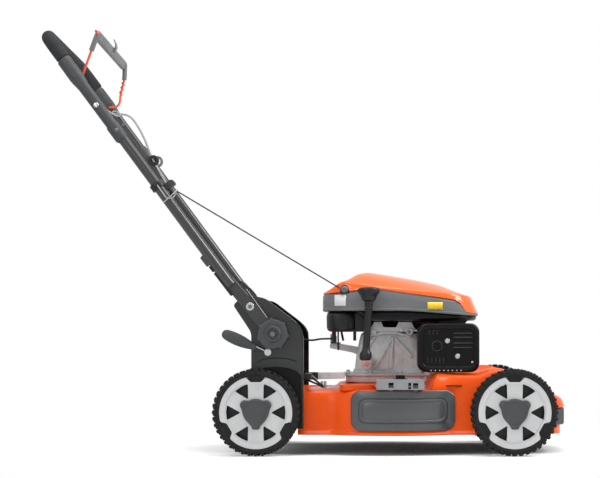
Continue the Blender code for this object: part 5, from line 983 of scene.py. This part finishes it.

# a raised pad behind the door, and below the guard a black strip as the painted shade of a drain slot
bm = bmesh.new()
slab(bm, [roundedBox(0.08, -0.218, 0.17, -0.125, 0.018, 5)], 0.156, 0.17, "XY")
addPiece("deckPad", bm, "deckPowderCoat", "chassis", 30, 0.004)
bm = bmesh.new()
slab(bm, [roundedBox(0.314, 0.166, 0.378, 0.1682, 0.001, 2)], -0.2075, -0.199)
addPiece("deckSlotShade", bm, "blackEnamel", "chassis", 30)

# hinge bracket: folded grey sheet with square windows, the rod and its spring showing through them
bm = bmesh.new()
windows = [roundedBox(0.198, 0.164, 0.21, 0.1765, 0.001, 2),
           roundedBox(0.2455, 0.161, 0.252, 0.1765, 0.001, 2),
           roundedBox(0.2565, 0.1625, 0.269, 0.1755, 0.001, 2)]
slab(bm, [roundedBox(0.169, 0.1595, 0.2835, 0.184, 0.0012, 2)] + windows, -0.2628, -0.2612)
slab(bm, [roundedBox(0.169, -0.2625, 0.2835, -0.206, 0.001, 2)], 0.1826, 0.184, "XY")
cheek = [(-0.262, 0.16), (-0.24, 0.16), (-0.208, 0.16), (-0.208, 0.1835), (-0.262, 0.1835)]
for x in (0.169, 0.2819):
    slab(bm, [cheek], x, x + 0.0016, "YZ")
addPiece("hingeBracket", bm, "greyEnamel", "chassis", 30, 0.0005, ["door_bracket"])
bm = bmesh.new()
slab(bm, [roundedBox(0.171, 0.16, 0.2815, 0.1822, 0.0006, 2)], -0.2478, -0.2466)
addPiece("hingeShade", bm, "blackEnamel", "chassis", 30)
bm = bmesh.new()
slab(bm, [roundedBox(0.2165, 0.185, 0.2385, 0.1935, 0.0012, 2)], -0.224, -0.212)
slab(bm, [roundedBox(0.21, 0.184, 0.245, 0.1855, 0.0006, 2)], -0.226, -0.21)
addPiece("hingeClip", bm, "blackEnamel", "chassis", 30, 0.0006)

# brace from the right tower to the sump, and the cables and studs beside it
bm = bmesh.new()
slab(bm, [rounded([(-0.005, 0.1815, 0.002), (0.03, 0.1805, 0), (0.093, 0.1822, 0.002), (0.093, 0.1975, 0.003),
                   (-0.005, 0.1975, 0.002)], 3)], -0.126, -0.106)
addPiece("braceDress", bm, "castAluminium", "chassis", 30, 0.0015, ["tower_brace"])
bm = bmesh.new()
slab(bm, [roundedBox(-0.0045, 0.1795, 0.026, 0.1985, 0.002, 2)], -0.129, -0.1255)
slab(bm, [roundedBox(-0.005, -0.204, 0.012, -0.11, 0.002, 2)], 0.183, 0.196, "XY")
for path in (((-0.004, -0.14, 0.196), (0.008, -0.145, 0.188), (0.024, -0.148, 0.176), (0.04, -0.15, 0.164)),
             ((-0.004, -0.15, 0.182), (0.014, -0.152, 0.174), (0.026, -0.152, 0.169), (0.042, -0.15, 0.16))):
    tube(bm, smoothPath(path, 6), 0.0024, 10)
addPiece("braceCables", bm, "blackNylon", "chassis", 40)
bm = bmesh.new()
slab(bm, [roundedBox(0.018, -0.156, 0.056, -0.13, 0.003, 3)], 0.159, 0.1606, "XY")
for x in (0.036, 0.044):
    spin(bm, [(0.0032, 0.16), (0.0032, 0.176), (0.0026, 0.1768), (0, 0.1768)], (x, -0.144, 0), (0, 0, 1), 14)
tube(bm, smoothPath([(0.004, -0.138, 0.1985), (0.012, -0.14, 0.19), (0.024, -0.14, 0.18)], 5), 0.0018, 8)
addPiece("braceStuds", bm, "machinedSteel", "chassis", 30, 0.0004)

# handle towers: a pressed plate with side walls, arched over the wheel, its well closed by a sunk sheet,
# black as painted shade
tower = {
    "face": 0.2222, "wall": 0.2052, "sheet": 0.0016, "bead": 0.0014,
    "outline": [(-0.0069, 0.0622, 0.002), (-0.0069, 0.3092, 0.066), (-0.0995, 0.3797, 0.04),
                (-0.15, 0.39, 0.01), (-0.1775, 0.363, 0.008), (-0.1336, 0.2968, 0.035),
                (-0.1336, 0.201, 0.002), (-0.1195, 0.2043, 0.004), (-0.0973, 0.2113, 0.03),
                (-0.0751, 0.2135, 0.05), (-0.0473, 0.2113, 0.03), (-0.0251, 0.2043, 0.02),
                (-0.0126, 0.1918, 0.008), (-0.0112, 0.0622, 0.001)],
    "well": [(-0.133, 0.218, 0), (-0.0085, 0.218, 0), (-0.0085, 0.064, 0), (-0.0627, 0.064, 0),
             (-0.0737, 0.15, 0), (-0.133, 0.15, 0)],
    "ridge": [(-0.1195, 0.2237, 0.002), (-0.1028, 0.2307, 0.02), (-0.075, 0.2335, 0.05),
              (-0.0472, 0.2321, 0.04), (-0.0236, 0.2251, 0.003), (-0.0222, 0.2108, 0.003),
              (-0.0611, 0.2178, 0.05), (-0.0973, 0.2178, 0.05), (-0.1181, 0.2136, 0.002)],
    "edge": [(-0.035, 0.3275), (-0.0215, 0.3165), (-0.0125, 0.303), (-0.009, 0.285), (-0.009, 0.2),
             (-0.009, 0.066)],
    "groove": [(-0.12, 0.2252), (-0.1028, 0.2322), (-0.075, 0.235), (-0.0472, 0.2336), (-0.0226, 0.2262)],
}


def addTower(label, side, t):
    outline = rounded(t["outline"], 6)
    bm = bmesh.new()
    loft(bm, [[(a, side * y, b) for a, b in outline] for y in (t["wall"], t["face"])], capLast=True)
    plate = addPiece("towerDress_" + label, bm, "darkEnamel", "chassis", 50, 0.0012,
                     ["tower_" + label])
    thicken(plate, t["sheet"])
    bm = bmesh.new()
    slab(bm, [rounded(t["ridge"], 4)], *sorted((side * (t["face"] - 0.0004), side * (t["face"] + 0.001))))
    tube(bm, smoothPath([(a, side * t["face"], b) for a, b in t["edge"]], 5), t["bead"], 8)
    addPiece("towerBeads_" + label, bm, "darkEnamel", "chassis", 40, 0.0005)
    # painted shade: the well's sheet and the groove under the arch are black where the tower's own enamel
    # lies in shadow
    bm = bmesh.new()
    slab(bm, [rounded(t["well"])], *sorted((side * (t["face"] - 0.0036), side * (t["face"] - 0.002))))
    tube(bm, smoothPath([(a, side * t["face"], b) for a, b in t["groove"]], 5), 0.0009, 8)
    addPiece("towerWellShade_" + label, bm, "blackEnamel", "chassis", 40)


for label, side in bothSides:
    addTower(label, side, tower)

# star knobs: a round body with seven short teeth, a raised ring and a dull bolt end
knob = {"seat": 0.2424, "radius": 0.0372, "lobes": 7, "lobe": 0.0044, "turn": 95}
footBolt = {"x": -0.135, "z": 0.3592, "washer": 0.2421, "head": 0.2435}
for label, side in bothSides:
    bm = bmesh.new()
    rings = []
    for share, out, wave in ((0.9, 0.001, 0.6), (0.985, 0.0026, 1), (1.0, 0.005, 1), (1.0, 0.011, 1),
                             (0.97, 0.0138, 1), (0.9, 0.0152, 0.7), (0.78, 0.0158, 0.2), (0.58, 0.016, 0),
                             (0.55, 0.017, 0), (0.53, 0.0215, 0), (0.5, 0.0228, 0), (0.4, 0.0228, 0),
                             (0.37, 0.0215, 0), (0.36, 0.018, 0), (0.18, 0.0175, 0)):
        ring = []
        for a in turns(98):
            bump = max(0.0, cos(knob["lobes"] * (a - radians(knob["turn"])))) ** 4
            r = (knob["radius"] - 0.0016) * share + knob["lobe"] * bump * wave
            ring.append((foldX + r * cos(a), side * (knob["seat"] + out), foldZ + r * sin(a)))
        rings.append(ring)
    loft(bm, rings, capFirst=True, capLast=True)
    spin(bm, [(0.004, -0.035), (0.004, 0.002)], (foldX, side * knob["seat"], foldZ), (0, side, 0), 16)
    addPiece("starDress_" + label, bm, "darkPolypropylene", "knob_" + label, 38,
             replaced=["star_knob_" + label])
    bm = bmesh.new()
    spin(bm, [(0.0068, 0.0172), (0.0068, 0.0196), (0.006, 0.0206), (0.0036, 0.0206), (0.0034, 0.019),
              (0, 0.019)], (foldX, side * knob["seat"], foldZ), (0, side, 0), 24)
    addPiece("starScrew_" + label, bm, "bladeSteel", "knob_" + label, 30)
    bm = bmesh.new()
    spin(bm, [(0, 0), (0.0098, 0), (0.0098, 0.0008), (0.0092, 0.0014), (0, 0.0014)],
         (footBolt["x"], side * footBolt["washer"], footBolt["z"]), (0, side, 0), 28)
    addPiece("footWasher_" + label, bm, "zincPlate", "handle", 30)
    bm = bmesh.new()
    bolt(bm, (footBolt["x"], side * footBolt["head"], footBolt["z"]), (0, side, 0), 0.0088, 0.0042, 0)
    addPiece("footBolt_" + label, bm, "bladeSteel", "handle", 30)

# handle: a smooth bent tube on flattened feet, foam on its crossbar, mouldings on its sides
handle = {
    "half": 0.243, "kink": Vector((-0.190122, 0, 0.422269)), "end": Vector((-0.626285, 0, 1.013866)),
    "corner": 0.042, "tube": 0.0125, "foam": 0.0168, "foamReturn": 0.071,
    "pivot": Vector((foldX, 0, foldZ)), "foot": Vector((-0.649448, 0, 0.760406)),
    "footFace": 0.242, "footBack": 0.2246,
    "moulding": [(0.0, 0.015), (0.004, 0.0172), (0.052, 0.0178), (0.062, 0.017), (0.084, 0.014),
                 (0.195, 0.0135), (0.2, 0.016), (0.236, 0.016), (0.242, 0.0134)],
}
along = (handle["end"] - handle["kink"]).normalized()
front = Vector((along.z, 0, -along.x))


def bowPath(h, drop):
    # one leg, a round corner, the crossbar, and the same back again
    half, r = h["half"], h["corner"]
    leg = [h["end"] - along * (drop - (drop - r) * k / 12) for k in range(12)] if drop > r else []
    arc = [h["end"] - along * r * (1 - sin(t)) + Vector((0, r * (1 - cos(t)), 0))
           for t in [radians(9 * k) for k in range(11)]]
    right = [atSide(p, -half + p.y) for p in leg + arc]
    return right + [atSide(p, -p.y) for p in reversed(right)]


def addHandle(h):
    bm = bmesh.new()
    drop = (h["end"] - h["kink"]).length
    bend = [h["kink"] - h["foot"] * 0.016, h["kink"] - h["foot"] * 0.006, h["kink"] + along * 0.002,
            h["kink"] + along * 0.01]
    right = [atSide(p, -h["half"]) for p in bend]
    left = [atSide(p, h["half"]) for p in reversed(bend)]
    tube(bm, right + bowPath(h, drop - 0.02) + left, h["tube"], 24)
    across = Vector((h["foot"].z, 0, -h["foot"].x))
    low, high = h["pivot"] - h["foot"] * 0.019, h["kink"] + h["foot"] * 0.004
    outline = []
    for base, side, radius in ((low, -0.0165, 0.015), (high, -0.0125, 0.004), (high, 0.014, 0.006),
                               (low, 0.0165, 0.015)):
        p = base + across * side
        outline.append((p.x, p.z, radius))
    for side in (-1, 1):
        slab(bm, [rounded(outline, 6)], *sorted((side * h["footBack"], side * h["footFace"])))
    addPiece("handleDress", bm, "tubeEnamel", "handle", 45, 0.0012, ["handle_loop"])
    bm = bmesh.new()
    path = bowPath(h, h["foamReturn"])
    tube(bm, path, [h["tube"] + 0.002] + [h["foam"]] * (len(path) - 2) + [h["tube"] + 0.002], 28)
    addPiece("foamDress", bm, "foamRubber", "handle", 50, replaced=["foam_grip"])
    for label, side in bothSides:
        bm = bmesh.new()
        shift = Vector((0, side * (h["half"] + 0.0012), 0)) - front * 0.0014
        stations = [h["end"] - along * (h["foamReturn"] + 0.0015 + a) + shift for a, _ in h["moulding"]]
        tube(bm, stations, [r for _, r in h["moulding"]], 28)
        addPiece("mouldingDress_" + label, bm, "darkPolypropylene", "handle", 28, 0.0008,
                 ["moulding_" + label])
        bm = bmesh.new()
        domeScrew(bm, (-0.5028, side * 0.2582, 0.8423), (0, side, 0), 0.0064, 0.004)
        addPiece("mouldingScrew_" + label, bm, "zincPlate", "handle", 30)
        bm = bmesh.new()
        domeScrew(bm, (-0.4545, side * 0.259, 0.782), (0, side, 0), 0.0042, 0.002)
        domeScrew(bm, (-0.5103, side * 0.23, 0.8607), (0, -side, 0), 0.0058, 0.004)
        addPiece("mouldingStud_" + label, bm, "bladeSteel", "handle", 30)


addHandle(handle)

# small parts on the right tube: fold clip, stop strip with its notch, and the thin rod down to the knob, pale
# as painted highlight
bm = bmesh.new()
spot = atSide(atPixel(205.0, 260.9, -0.244), 0)
shape = ((-0.014, -0.007), (0.015, -0.007), (0.012, 0.0052), (-0.015, 0.0048))
clip = [spot + along * a - front * b for a, b in shape]
slab(bm, [rounded([(p.x, p.z, 0.002) for p in clip], 3)], -0.252, -0.236)
addPiece("foldClip", bm, "darkPolypropylene", "handle", 30, 0.0008)
bm = bmesh.new()
base = Vector((-0.2337, 0, 0.4544)) + Vector((0.004, 0, 0.003))
way = Vector((0.0544, 0, -0.0714)).normalized()
for a0, a1 in ((0.0, 0.016), (0.02, 0.088)):
    strip = [base + way * a - front * b for a, b in ((a0, -0.002), (a1, -0.002), (a1, 0.0055), (a0, 0.0055))]
    slab(bm, [rounded([(p.x, p.z, 0.001) for p in strip], 2)], -0.25, -0.237)
addPiece("stopStrip", bm, "blackNylon", "handle", 30, 0.0006)
# painted highlight: a thin pale rod where the foot's front edge catches the light
bm = bmesh.new()
tube(bm, [(-0.144, -0.243, 0.401), (-0.1425, -0.2432, 0.3998), (-0.0934, -0.2432, 0.3322)], 0.0009, 10)
addPiece("footEdgeHighlight", bm, "cableJacket", "handle", 40)

# starter: a clamp with its eye, the parked grip, and the rope in one straight run to the engine
starter = {"spot": Vector((-0.33907, -0.243, 0.624297)), "gripY": -0.209,
           "end": Vector((0.079, -0.1508, 0.4068)), "rope": 0.0017}
eye = atSide(starter["spot"], starter["gripY"]) + front * 0.016
bm = bmesh.new()
spin(bm, [(handle["tube"], -0.0085), (0.0162, -0.0085), (0.0172, -0.007), (0.0172, 0.007), (0.0162, 0.0085),
          (handle["tube"], 0.0085)], starter["spot"] + along * 0.0313, along, 28, loop=True)
spin(bm, [(0.0032, -0.006), (0.0078, -0.006), (0.0084, -0.0045), (0.0084, 0.0045), (0.0078, 0.006),
          (0.0032, 0.006)], eye, along, 24, loop=True)
tube(bm, [starter["spot"] + along * 0.03 + Vector((0, 0.013, 0)) + front * 0.004, eye - front * 0.005],
     0.0056, 14)
addPiece("ropeGuideDress", bm, "blackNylon", "handle", 40, replaced=["rope_guide"])
# the brake cable's black boot and its ring, strapped to the left tube
bm = bmesh.new()
boot = Vector(atPixel(154, 161, 0.23))
spin(bm, [(0.005, 0), (0.0135, 0), (0.0147, 0.0015), (0.0147, 0.014), (0.0132, 0.0155), (0.0068, 0.0155),
          (0.005, 0.012)], boot, steps=28, loop=True)
strap = handle["kink"] + along * (boot - handle["kink"]).dot(along)
tube(bm, [atSide(strap, handle["half"]), boot + Vector((0, -0.004, 0))], 0.006, 14)
addPiece("cableBoot", bm, "blackNylon", "handle", 40)
bm = bmesh.new()
spin(bm, [(0.0088, -0.004), (0.0147, -0.004), (0.0156, 0), (0.0147, 0.008), (0.0088, 0.008)],
     boot + Vector((0.0095, 0, -0.0022)), steps=28, loop=True)
addPiece("cableRing", bm, "greyPolypropylene", "handle", 40)
bm = bmesh.new()
base = eye + along * 0.013
shape = ((-1.0, 0.0, 0.004), (1.0, 0.0, 0.004), (0.92, 0.0165, 0.0075), (-0.92, 0.0165, 0.0075))
bar = [(base + front * (a * 0.0215 + 0.001) + along * b, r) for a, b, r in shape]
slab(bm, [rounded([(p.x, p.z, r) for p, r in bar], 5)], starter["gripY"] - 0.0105, starter["gripY"] + 0.0105)
addPiece("starterDress", bm, "darkPolypropylene", "starter", 30, 0.0028, ["starter_grip"])
bm = bmesh.new()
run = [base, eye, atPixel(176.0, 190.6, starter["gripY"])]
tube(bm, run + [run[-1].lerp(starter["end"], k / 10) for k in range(1, 11)], starter["rope"], 12)
addPiece("ropeDress", bm, "ropeNylon", "handle", 50, replaced=["starter_rope"])
bm = bmesh.new()
for path in (((-0.356, -0.261, 0.65), (-0.344, -0.262, 0.633), (-0.333, -0.26, 0.619), (-0.32, -0.256, 0.62),
              (-0.312, -0.248, 0.633)),
             ((-0.342, -0.26, 0.608), (-0.33, -0.26, 0.618), (-0.318, -0.256, 0.63), (-0.309, -0.248, 0.64))):
    tube(bm, smoothPath(path, 5), 0.0015, 8)
addPiece("guideWires", bm, "cableJacket", "handle", 50)

# bail: jacketed wire, its far leg bowed forward with a second strand wound on,
# and a moulded bar with a hook
bail = {"half": 0.2215, "foot": Vector((-0.546766, 0, 0.90601)), "top": Vector((-0.5048, 0, 1.022)),
        "wire": 0.003}
bm = bmesh.new()
near = [atSide(bail["foot"], -0.24), atSide(bail["foot"], -0.224),
        Vector((bail["foot"].x + 0.0008, -bail["half"], bail["foot"].z + 0.003))]
near += [atSide(bail["foot"], -bail["half"]).lerp(atSide(bail["top"], -bail["half"]), k / 6)
         for k in range(1, 6)]
near += [Vector((bail["top"].x - 0.0012, -bail["half"] + 0.001, bail["top"].z - 0.004)),
         atSide(bail["top"], -bail["half"] + 0.006)]
farLeg = [(-0.5468, 0.24, 0.906), (-0.5468, 0.224, 0.9062), (-0.538, 0.2215, 0.9055),
          (-0.5265, 0.2215, 0.9085), (-0.519, 0.2215, 0.919), (-0.5166, 0.2215, 0.9388),
          (-0.512, 0.2215, 0.9586), (-0.508, 0.2215, 0.9751), (-0.5056, 0.2215, 0.995),
          (-0.5052, 0.2205, 1.018), (-0.5048, 0.2155, 1.022)]
tube(bm, smoothPath(near + [Vector(p) for p in reversed(farLeg)], 5), bail["wire"], 14)
strand = smoothPath([Vector(p) for p in farLeg[5:8]], 10)
tube(bm, [p + Vector((0.004 * cos(6 * pi * k / len(strand)), 0.0034 * sin(6 * pi * k / len(strand)), 0))
          for k, p in enumerate(strand)], 0.0018, 10)
addPiece("bailDress", bm, "bailJacket", "bow", 50, replaced=["bail"])
bm = bmesh.new()
up = (bail["top"] - bail["foot"]).normalized()
out = Vector((up.z, 0, -up.x))
lowLeg = bail["top"] - up * 0.046
nearSleeve = [atSide(lowLeg, -bail["half"]), *near[-3:], atSide(bail["top"], -bail["half"] + 0.03)]
farSleeve = [(-0.5066, 0.2215, 0.98), *farLeg[-3:], (-0.5048, 0.19, 1.0222)]
for sleeve in (nearSleeve, farSleeve):
    tube(bm, smoothPath([Vector(p) for p in sleeve], 6), 0.0063, 16)
rings = []
for share in (-1.0, -0.985, -0.95, 0.95, 0.985, 1.0):
    size = 1.0 if abs(share) < 0.96 else (0.86 if abs(share) < 0.99 else 0.45)
    ring = []
    for a, b in roundedBox(-0.0058 * size, -0.0165 * size - 0.001, 0.0058 * size, 0.0065 * size,
                           0.0045 * size, 4):
        p = bail["top"] + out * a + up * b
        ring.append((p.x, share * (bail["half"] - 0.006), p.z))
    rings.append(ring)
loft(bm, rings, capFirst=True, capLast=True)
shape = ((0.0, -0.006), (0.004, -0.003), (0.0048, 0.01), (0.0, 0.018), (-0.008, 0.026), (-0.009, 0.0244),
         (-0.0015, 0.016), (0.0012, 0.0095))
hook = [bail["top"] + out * (0.005 + a) + up * b for a, b in shape]
slab(bm, [rounded([(p.x, p.z, 0.0008) for p in hook], 2)], -0.011, 0.011)
addPiece("bailBar", bm, "greyPolypropylene", "bow", 40, replaced=["bail_grip"])

# brake cable: a silver sleeve from the bail down to its clip, black from there to the engine
bm = bmesh.new()
cable = [(-0.5388, 0.2147, 0.888), (-0.48998, 0.214, 0.87954), (-0.455986, 0.215, 0.830063),
         (-0.430292, 0.219, 0.76825), (-0.389012, 0.2259, 0.692037), (-0.22276, 0.2259, 0.466538),
         (-0.181912, 0.214, 0.428322), (-0.153715, 0.1962, 0.402), (-0.119715, 0.1922, 0.35),
         (-0.074715, 0.1882, 0.298), (-0.009715, 0.1762, 0.277), (0.030285, 0.08, 0.28),
         (0.067285, -0.0082, 0.281)]
tube(bm, smoothPath(cable[3:], 8), 0.0026, 12)
addPiece("cableLower", bm, "blackNylon", "handle", 50, replaced=["brake_cable"])
bm = bmesh.new()
tube(bm, smoothPath(cable[:5], 8), 0.0031, 12)
tube(bm, smoothPath([(-0.556, 0.215, 0.9), (-0.545, 0.214, 0.892), (-0.5388, 0.2147, 0.888)], 5), 0.0026, 10)
tube(bm, [(-0.5262 + 0.0105 * cos(t), 0.21 + 0.002 * sin(t), 0.8872 + 0.0062 * sin(t) - 0.003 * cos(t))
          for t in turns(24)], 0.0018, 8, loop=True)
addPiece("cableUpper", bm, "cableJacket", "handle", 50)
print("handle dressed")

# height lever: a bent zinc-plated rod into a club-shaped grip
grip = {"y": -0.232, "front": (-0.1226, 0.2598), "lean": 24.5, "flat": 0.62}
bm = bmesh.new()
spin(bm, [(0.003, -0.002), (0.008, 0.0), (0.009, 0.0016), (0.009, 0.0056), (0.0078, 0.007), (0.0086, 0.01),
          (0.0112, 0.02), (0.0136, 0.034), (0.0146, 0.048), (0.0144, 0.06), (0.0136, 0.07), (0.012, 0.079),
          (0.0086, 0.085), (0.004, 0.0878), (0, 0.0882)],
     (grip["front"][0], grip["y"], grip["front"][1]),
     (-cos(radians(grip["lean"])), 0, sin(radians(grip["lean"]))), 32)
for v in bm.verts:
    v.co.y = grip["y"] + (v.co.y - grip["y"]) * grip["flat"]
addPiece("gripDress", bm, "darkPolypropylene", "lever_arm", 40, replaced=["height_grip"])
bm = bmesh.new()
bolt(bm, (-0.092715, -0.2262, 0.249), across=0.011, height=0.007, washer=0.0076)
addPiece("leverBolt", bm, "zincPlate", "lever_arm", 30)

# black clutter between tower and tank: stop plate, governor rod and cable end under the tank
bm = bmesh.new()
slab(bm, [rounded([(0.059, 0.3, 0), (0.07, 0.3, 0), (0.07, 0.269, 0.002), (0.059, 0.269, 0.002)], 2)],
     -0.046, -0.043)
tube(bm, [(0.075, -0.038, 0.301), (0.075, -0.038, 0.252)], 0.0022, 10)
tube(bm, smoothPath([(0.083, -0.036, 0.301), (0.085, -0.036, 0.29), (0.088, -0.034, 0.276)], 4), 0.003, 10)
slab(bm, [roundedBox(0.113, 0.276, 0.121, 0.301, 0.001, 2)], -0.05, -0.044)
slab(bm, [roundedBox(0.118, 0.2985, 0.15, 0.349, 0.004, 3)], -0.13, -0.09)
addPiece("governorParts", bm, "blackNylon", "chassis", 30, 0.0005)
print("deck and towers dressed")


# floor, backdrop and light
stage = {"floorSize": 30, "worldLevel": 0.4, "glossLevel": 0.9, "topPower": 52, "keyPower": 60,
         "fillPower": 20, "lift": 0.42, "shadeMove": (-0.36, 0.0, 0.0), "shadeScale": (1.9, 4.2, 1.0)}


def addFloor(stage):
    bm = bmesh.new()
    half = stage["floorSize"] / 2
    corners = [bm.verts.new((x * half, y * half, -0.0005)) for x, y in ((-1, -1), (1, -1), (1, 1), (-1, 1))]
    bm.faces.new(corners)
    mesh = bpy.data.meshes.new("floor")
    bm.to_mesh(mesh)
    bm.free()
    material = bpy.data.materials.new("studioPaper")
    material.use_nodes = True
    tree = material.node_tree
    shader = tree.nodes["Principled BSDF"]
    grain = addNode(tree, "TexNoise", {"Scale": 900.0, "Detail": 2.0})
    tone = addNode(tree, "MapRange", {"Value": grain.outputs["Fac"], "To Min": 0.9, "To Max": 0.94})
    tree.links.new(tone.outputs["Result"], shader.inputs["Base Color"])
    shader.inputs["Roughness"].default_value = 0.9
    # straight to the eye the paper is lifted to white, while it still takes the shadow
    path = addNode(tree, "LightPath")
    place = addNode(tree, "Mapping", {"Vector": addNode(tree, "TexCoord").outputs["Object"],
                                      "Location": stage["shadeMove"], "Scale": stage["shadeScale"]})
    away = addNode(tree, "VectorMath", {0: place.outputs["Vector"]}, operation="LENGTH").outputs["Value"]
    # under and close round the mower the lift fades out: painted shade, darker than the real shadow alone
    near = addNode(tree, "MapRange", {"Value": away, "From Min": 0.85, "From Max": 1.35,
                                      "To Max": stage["lift"]})
    seen = addNode(tree, "Math", {0: path.outputs["Is Camera Ray"], 1: near.outputs["Result"]},
                   operation="MULTIPLY")
    shader.inputs["Emission Color"].default_value = (1, 1, 1, 1)
    tree.links.new(seen.outputs["Value"], shader.inputs["Emission Strength"])
    far = addNode(tree, "MapRange", {"Value": away, "From Min": 1.7, "From Max": 3.2})
    white = addNode(tree, "Emission", {"Color": (1, 1, 1, 1), "Strength": 1.0})
    straight = addNode(tree, "Math", {0: path.outputs["Is Camera Ray"], 1: far.outputs["Result"]},
                       operation="MULTIPLY")
    blend = addNode(tree, "MixShader", {"Fac": straight.outputs["Value"]})
    tree.links.new(shader.outputs["BSDF"], blend.inputs[1])
    tree.links.new(white.outputs["Emission"], blend.inputs[2])
    tree.links.new(blend.outputs["Shader"], tree.nodes["Material Output"].inputs["Surface"])
    mesh.materials.append(material)
    floor = bpy.data.objects.new("floor", mesh)
    bpy.context.scene.collection.objects.link(floor)


def addSky(stage):
    world = bpy.data.worlds.new("studio")
    world.use_nodes = True
    bpy.context.scene.world = world
    tree = world.node_tree
    tree.nodes.clear()
    path = addNode(tree, "LightPath")
    clear = addNode(tree, "Math", {0: path.outputs["Is Camera Ray"], 1: path.outputs["Is Transmission Ray"]},
                    operation="MAXIMUM")
    mirrored = addNode(tree, "MapRange", {"Value": path.outputs["Is Glossy Ray"],
                                          "To Min": stage["worldLevel"], "To Max": stage["glossLevel"]})
    level = addNode(tree, "MapRange", {"Value": clear.outputs["Value"], "To Max": 1.0})
    tree.links.new(mirrored.outputs["Result"], level.inputs["To Min"])
    paint = addNode(tree, "Background", {"Color": (1, 1, 1, 1), "Strength": level.outputs["Result"]})
    addNode(tree, "OutputWorld", {"Surface": paint.outputs["Background"]})


def addLamp(name, place, aim, size, power):
    lamp = bpy.data.lights.new(name, "AREA")
    lamp.shape = "RECTANGLE"
    lamp.size, lamp.size_y = size
    lamp.energy = power
    holder = bpy.data.objects.new(name, lamp)
    holder.location = place
    holder.rotation_euler = (Vector(aim) - Vector(place)).to_track_quat("-Z", "Y").to_euler()
    bpy.context.scene.collection.objects.link(holder)


addFloor(stage)
addSky(stage)
addLamp("topSoftbox", (0.2, -0.4, 2.8), (0.05, 0.0, 0.3), (2.6, 1.6), stage["topPower"])
addLamp("keySoftbox", (2.4, -0.5, 2.1), (0.1, 0.0, 0.4), (1.0, 1.7), stage["keyPower"])
addLamp("sideSoftbox", (-1.6, -2.6, 1.6), (0.1, 0, 0.4), (1.4, 1.8), stage["fillPower"])
print("floor and light set")

bpy.context.view_layer.update()
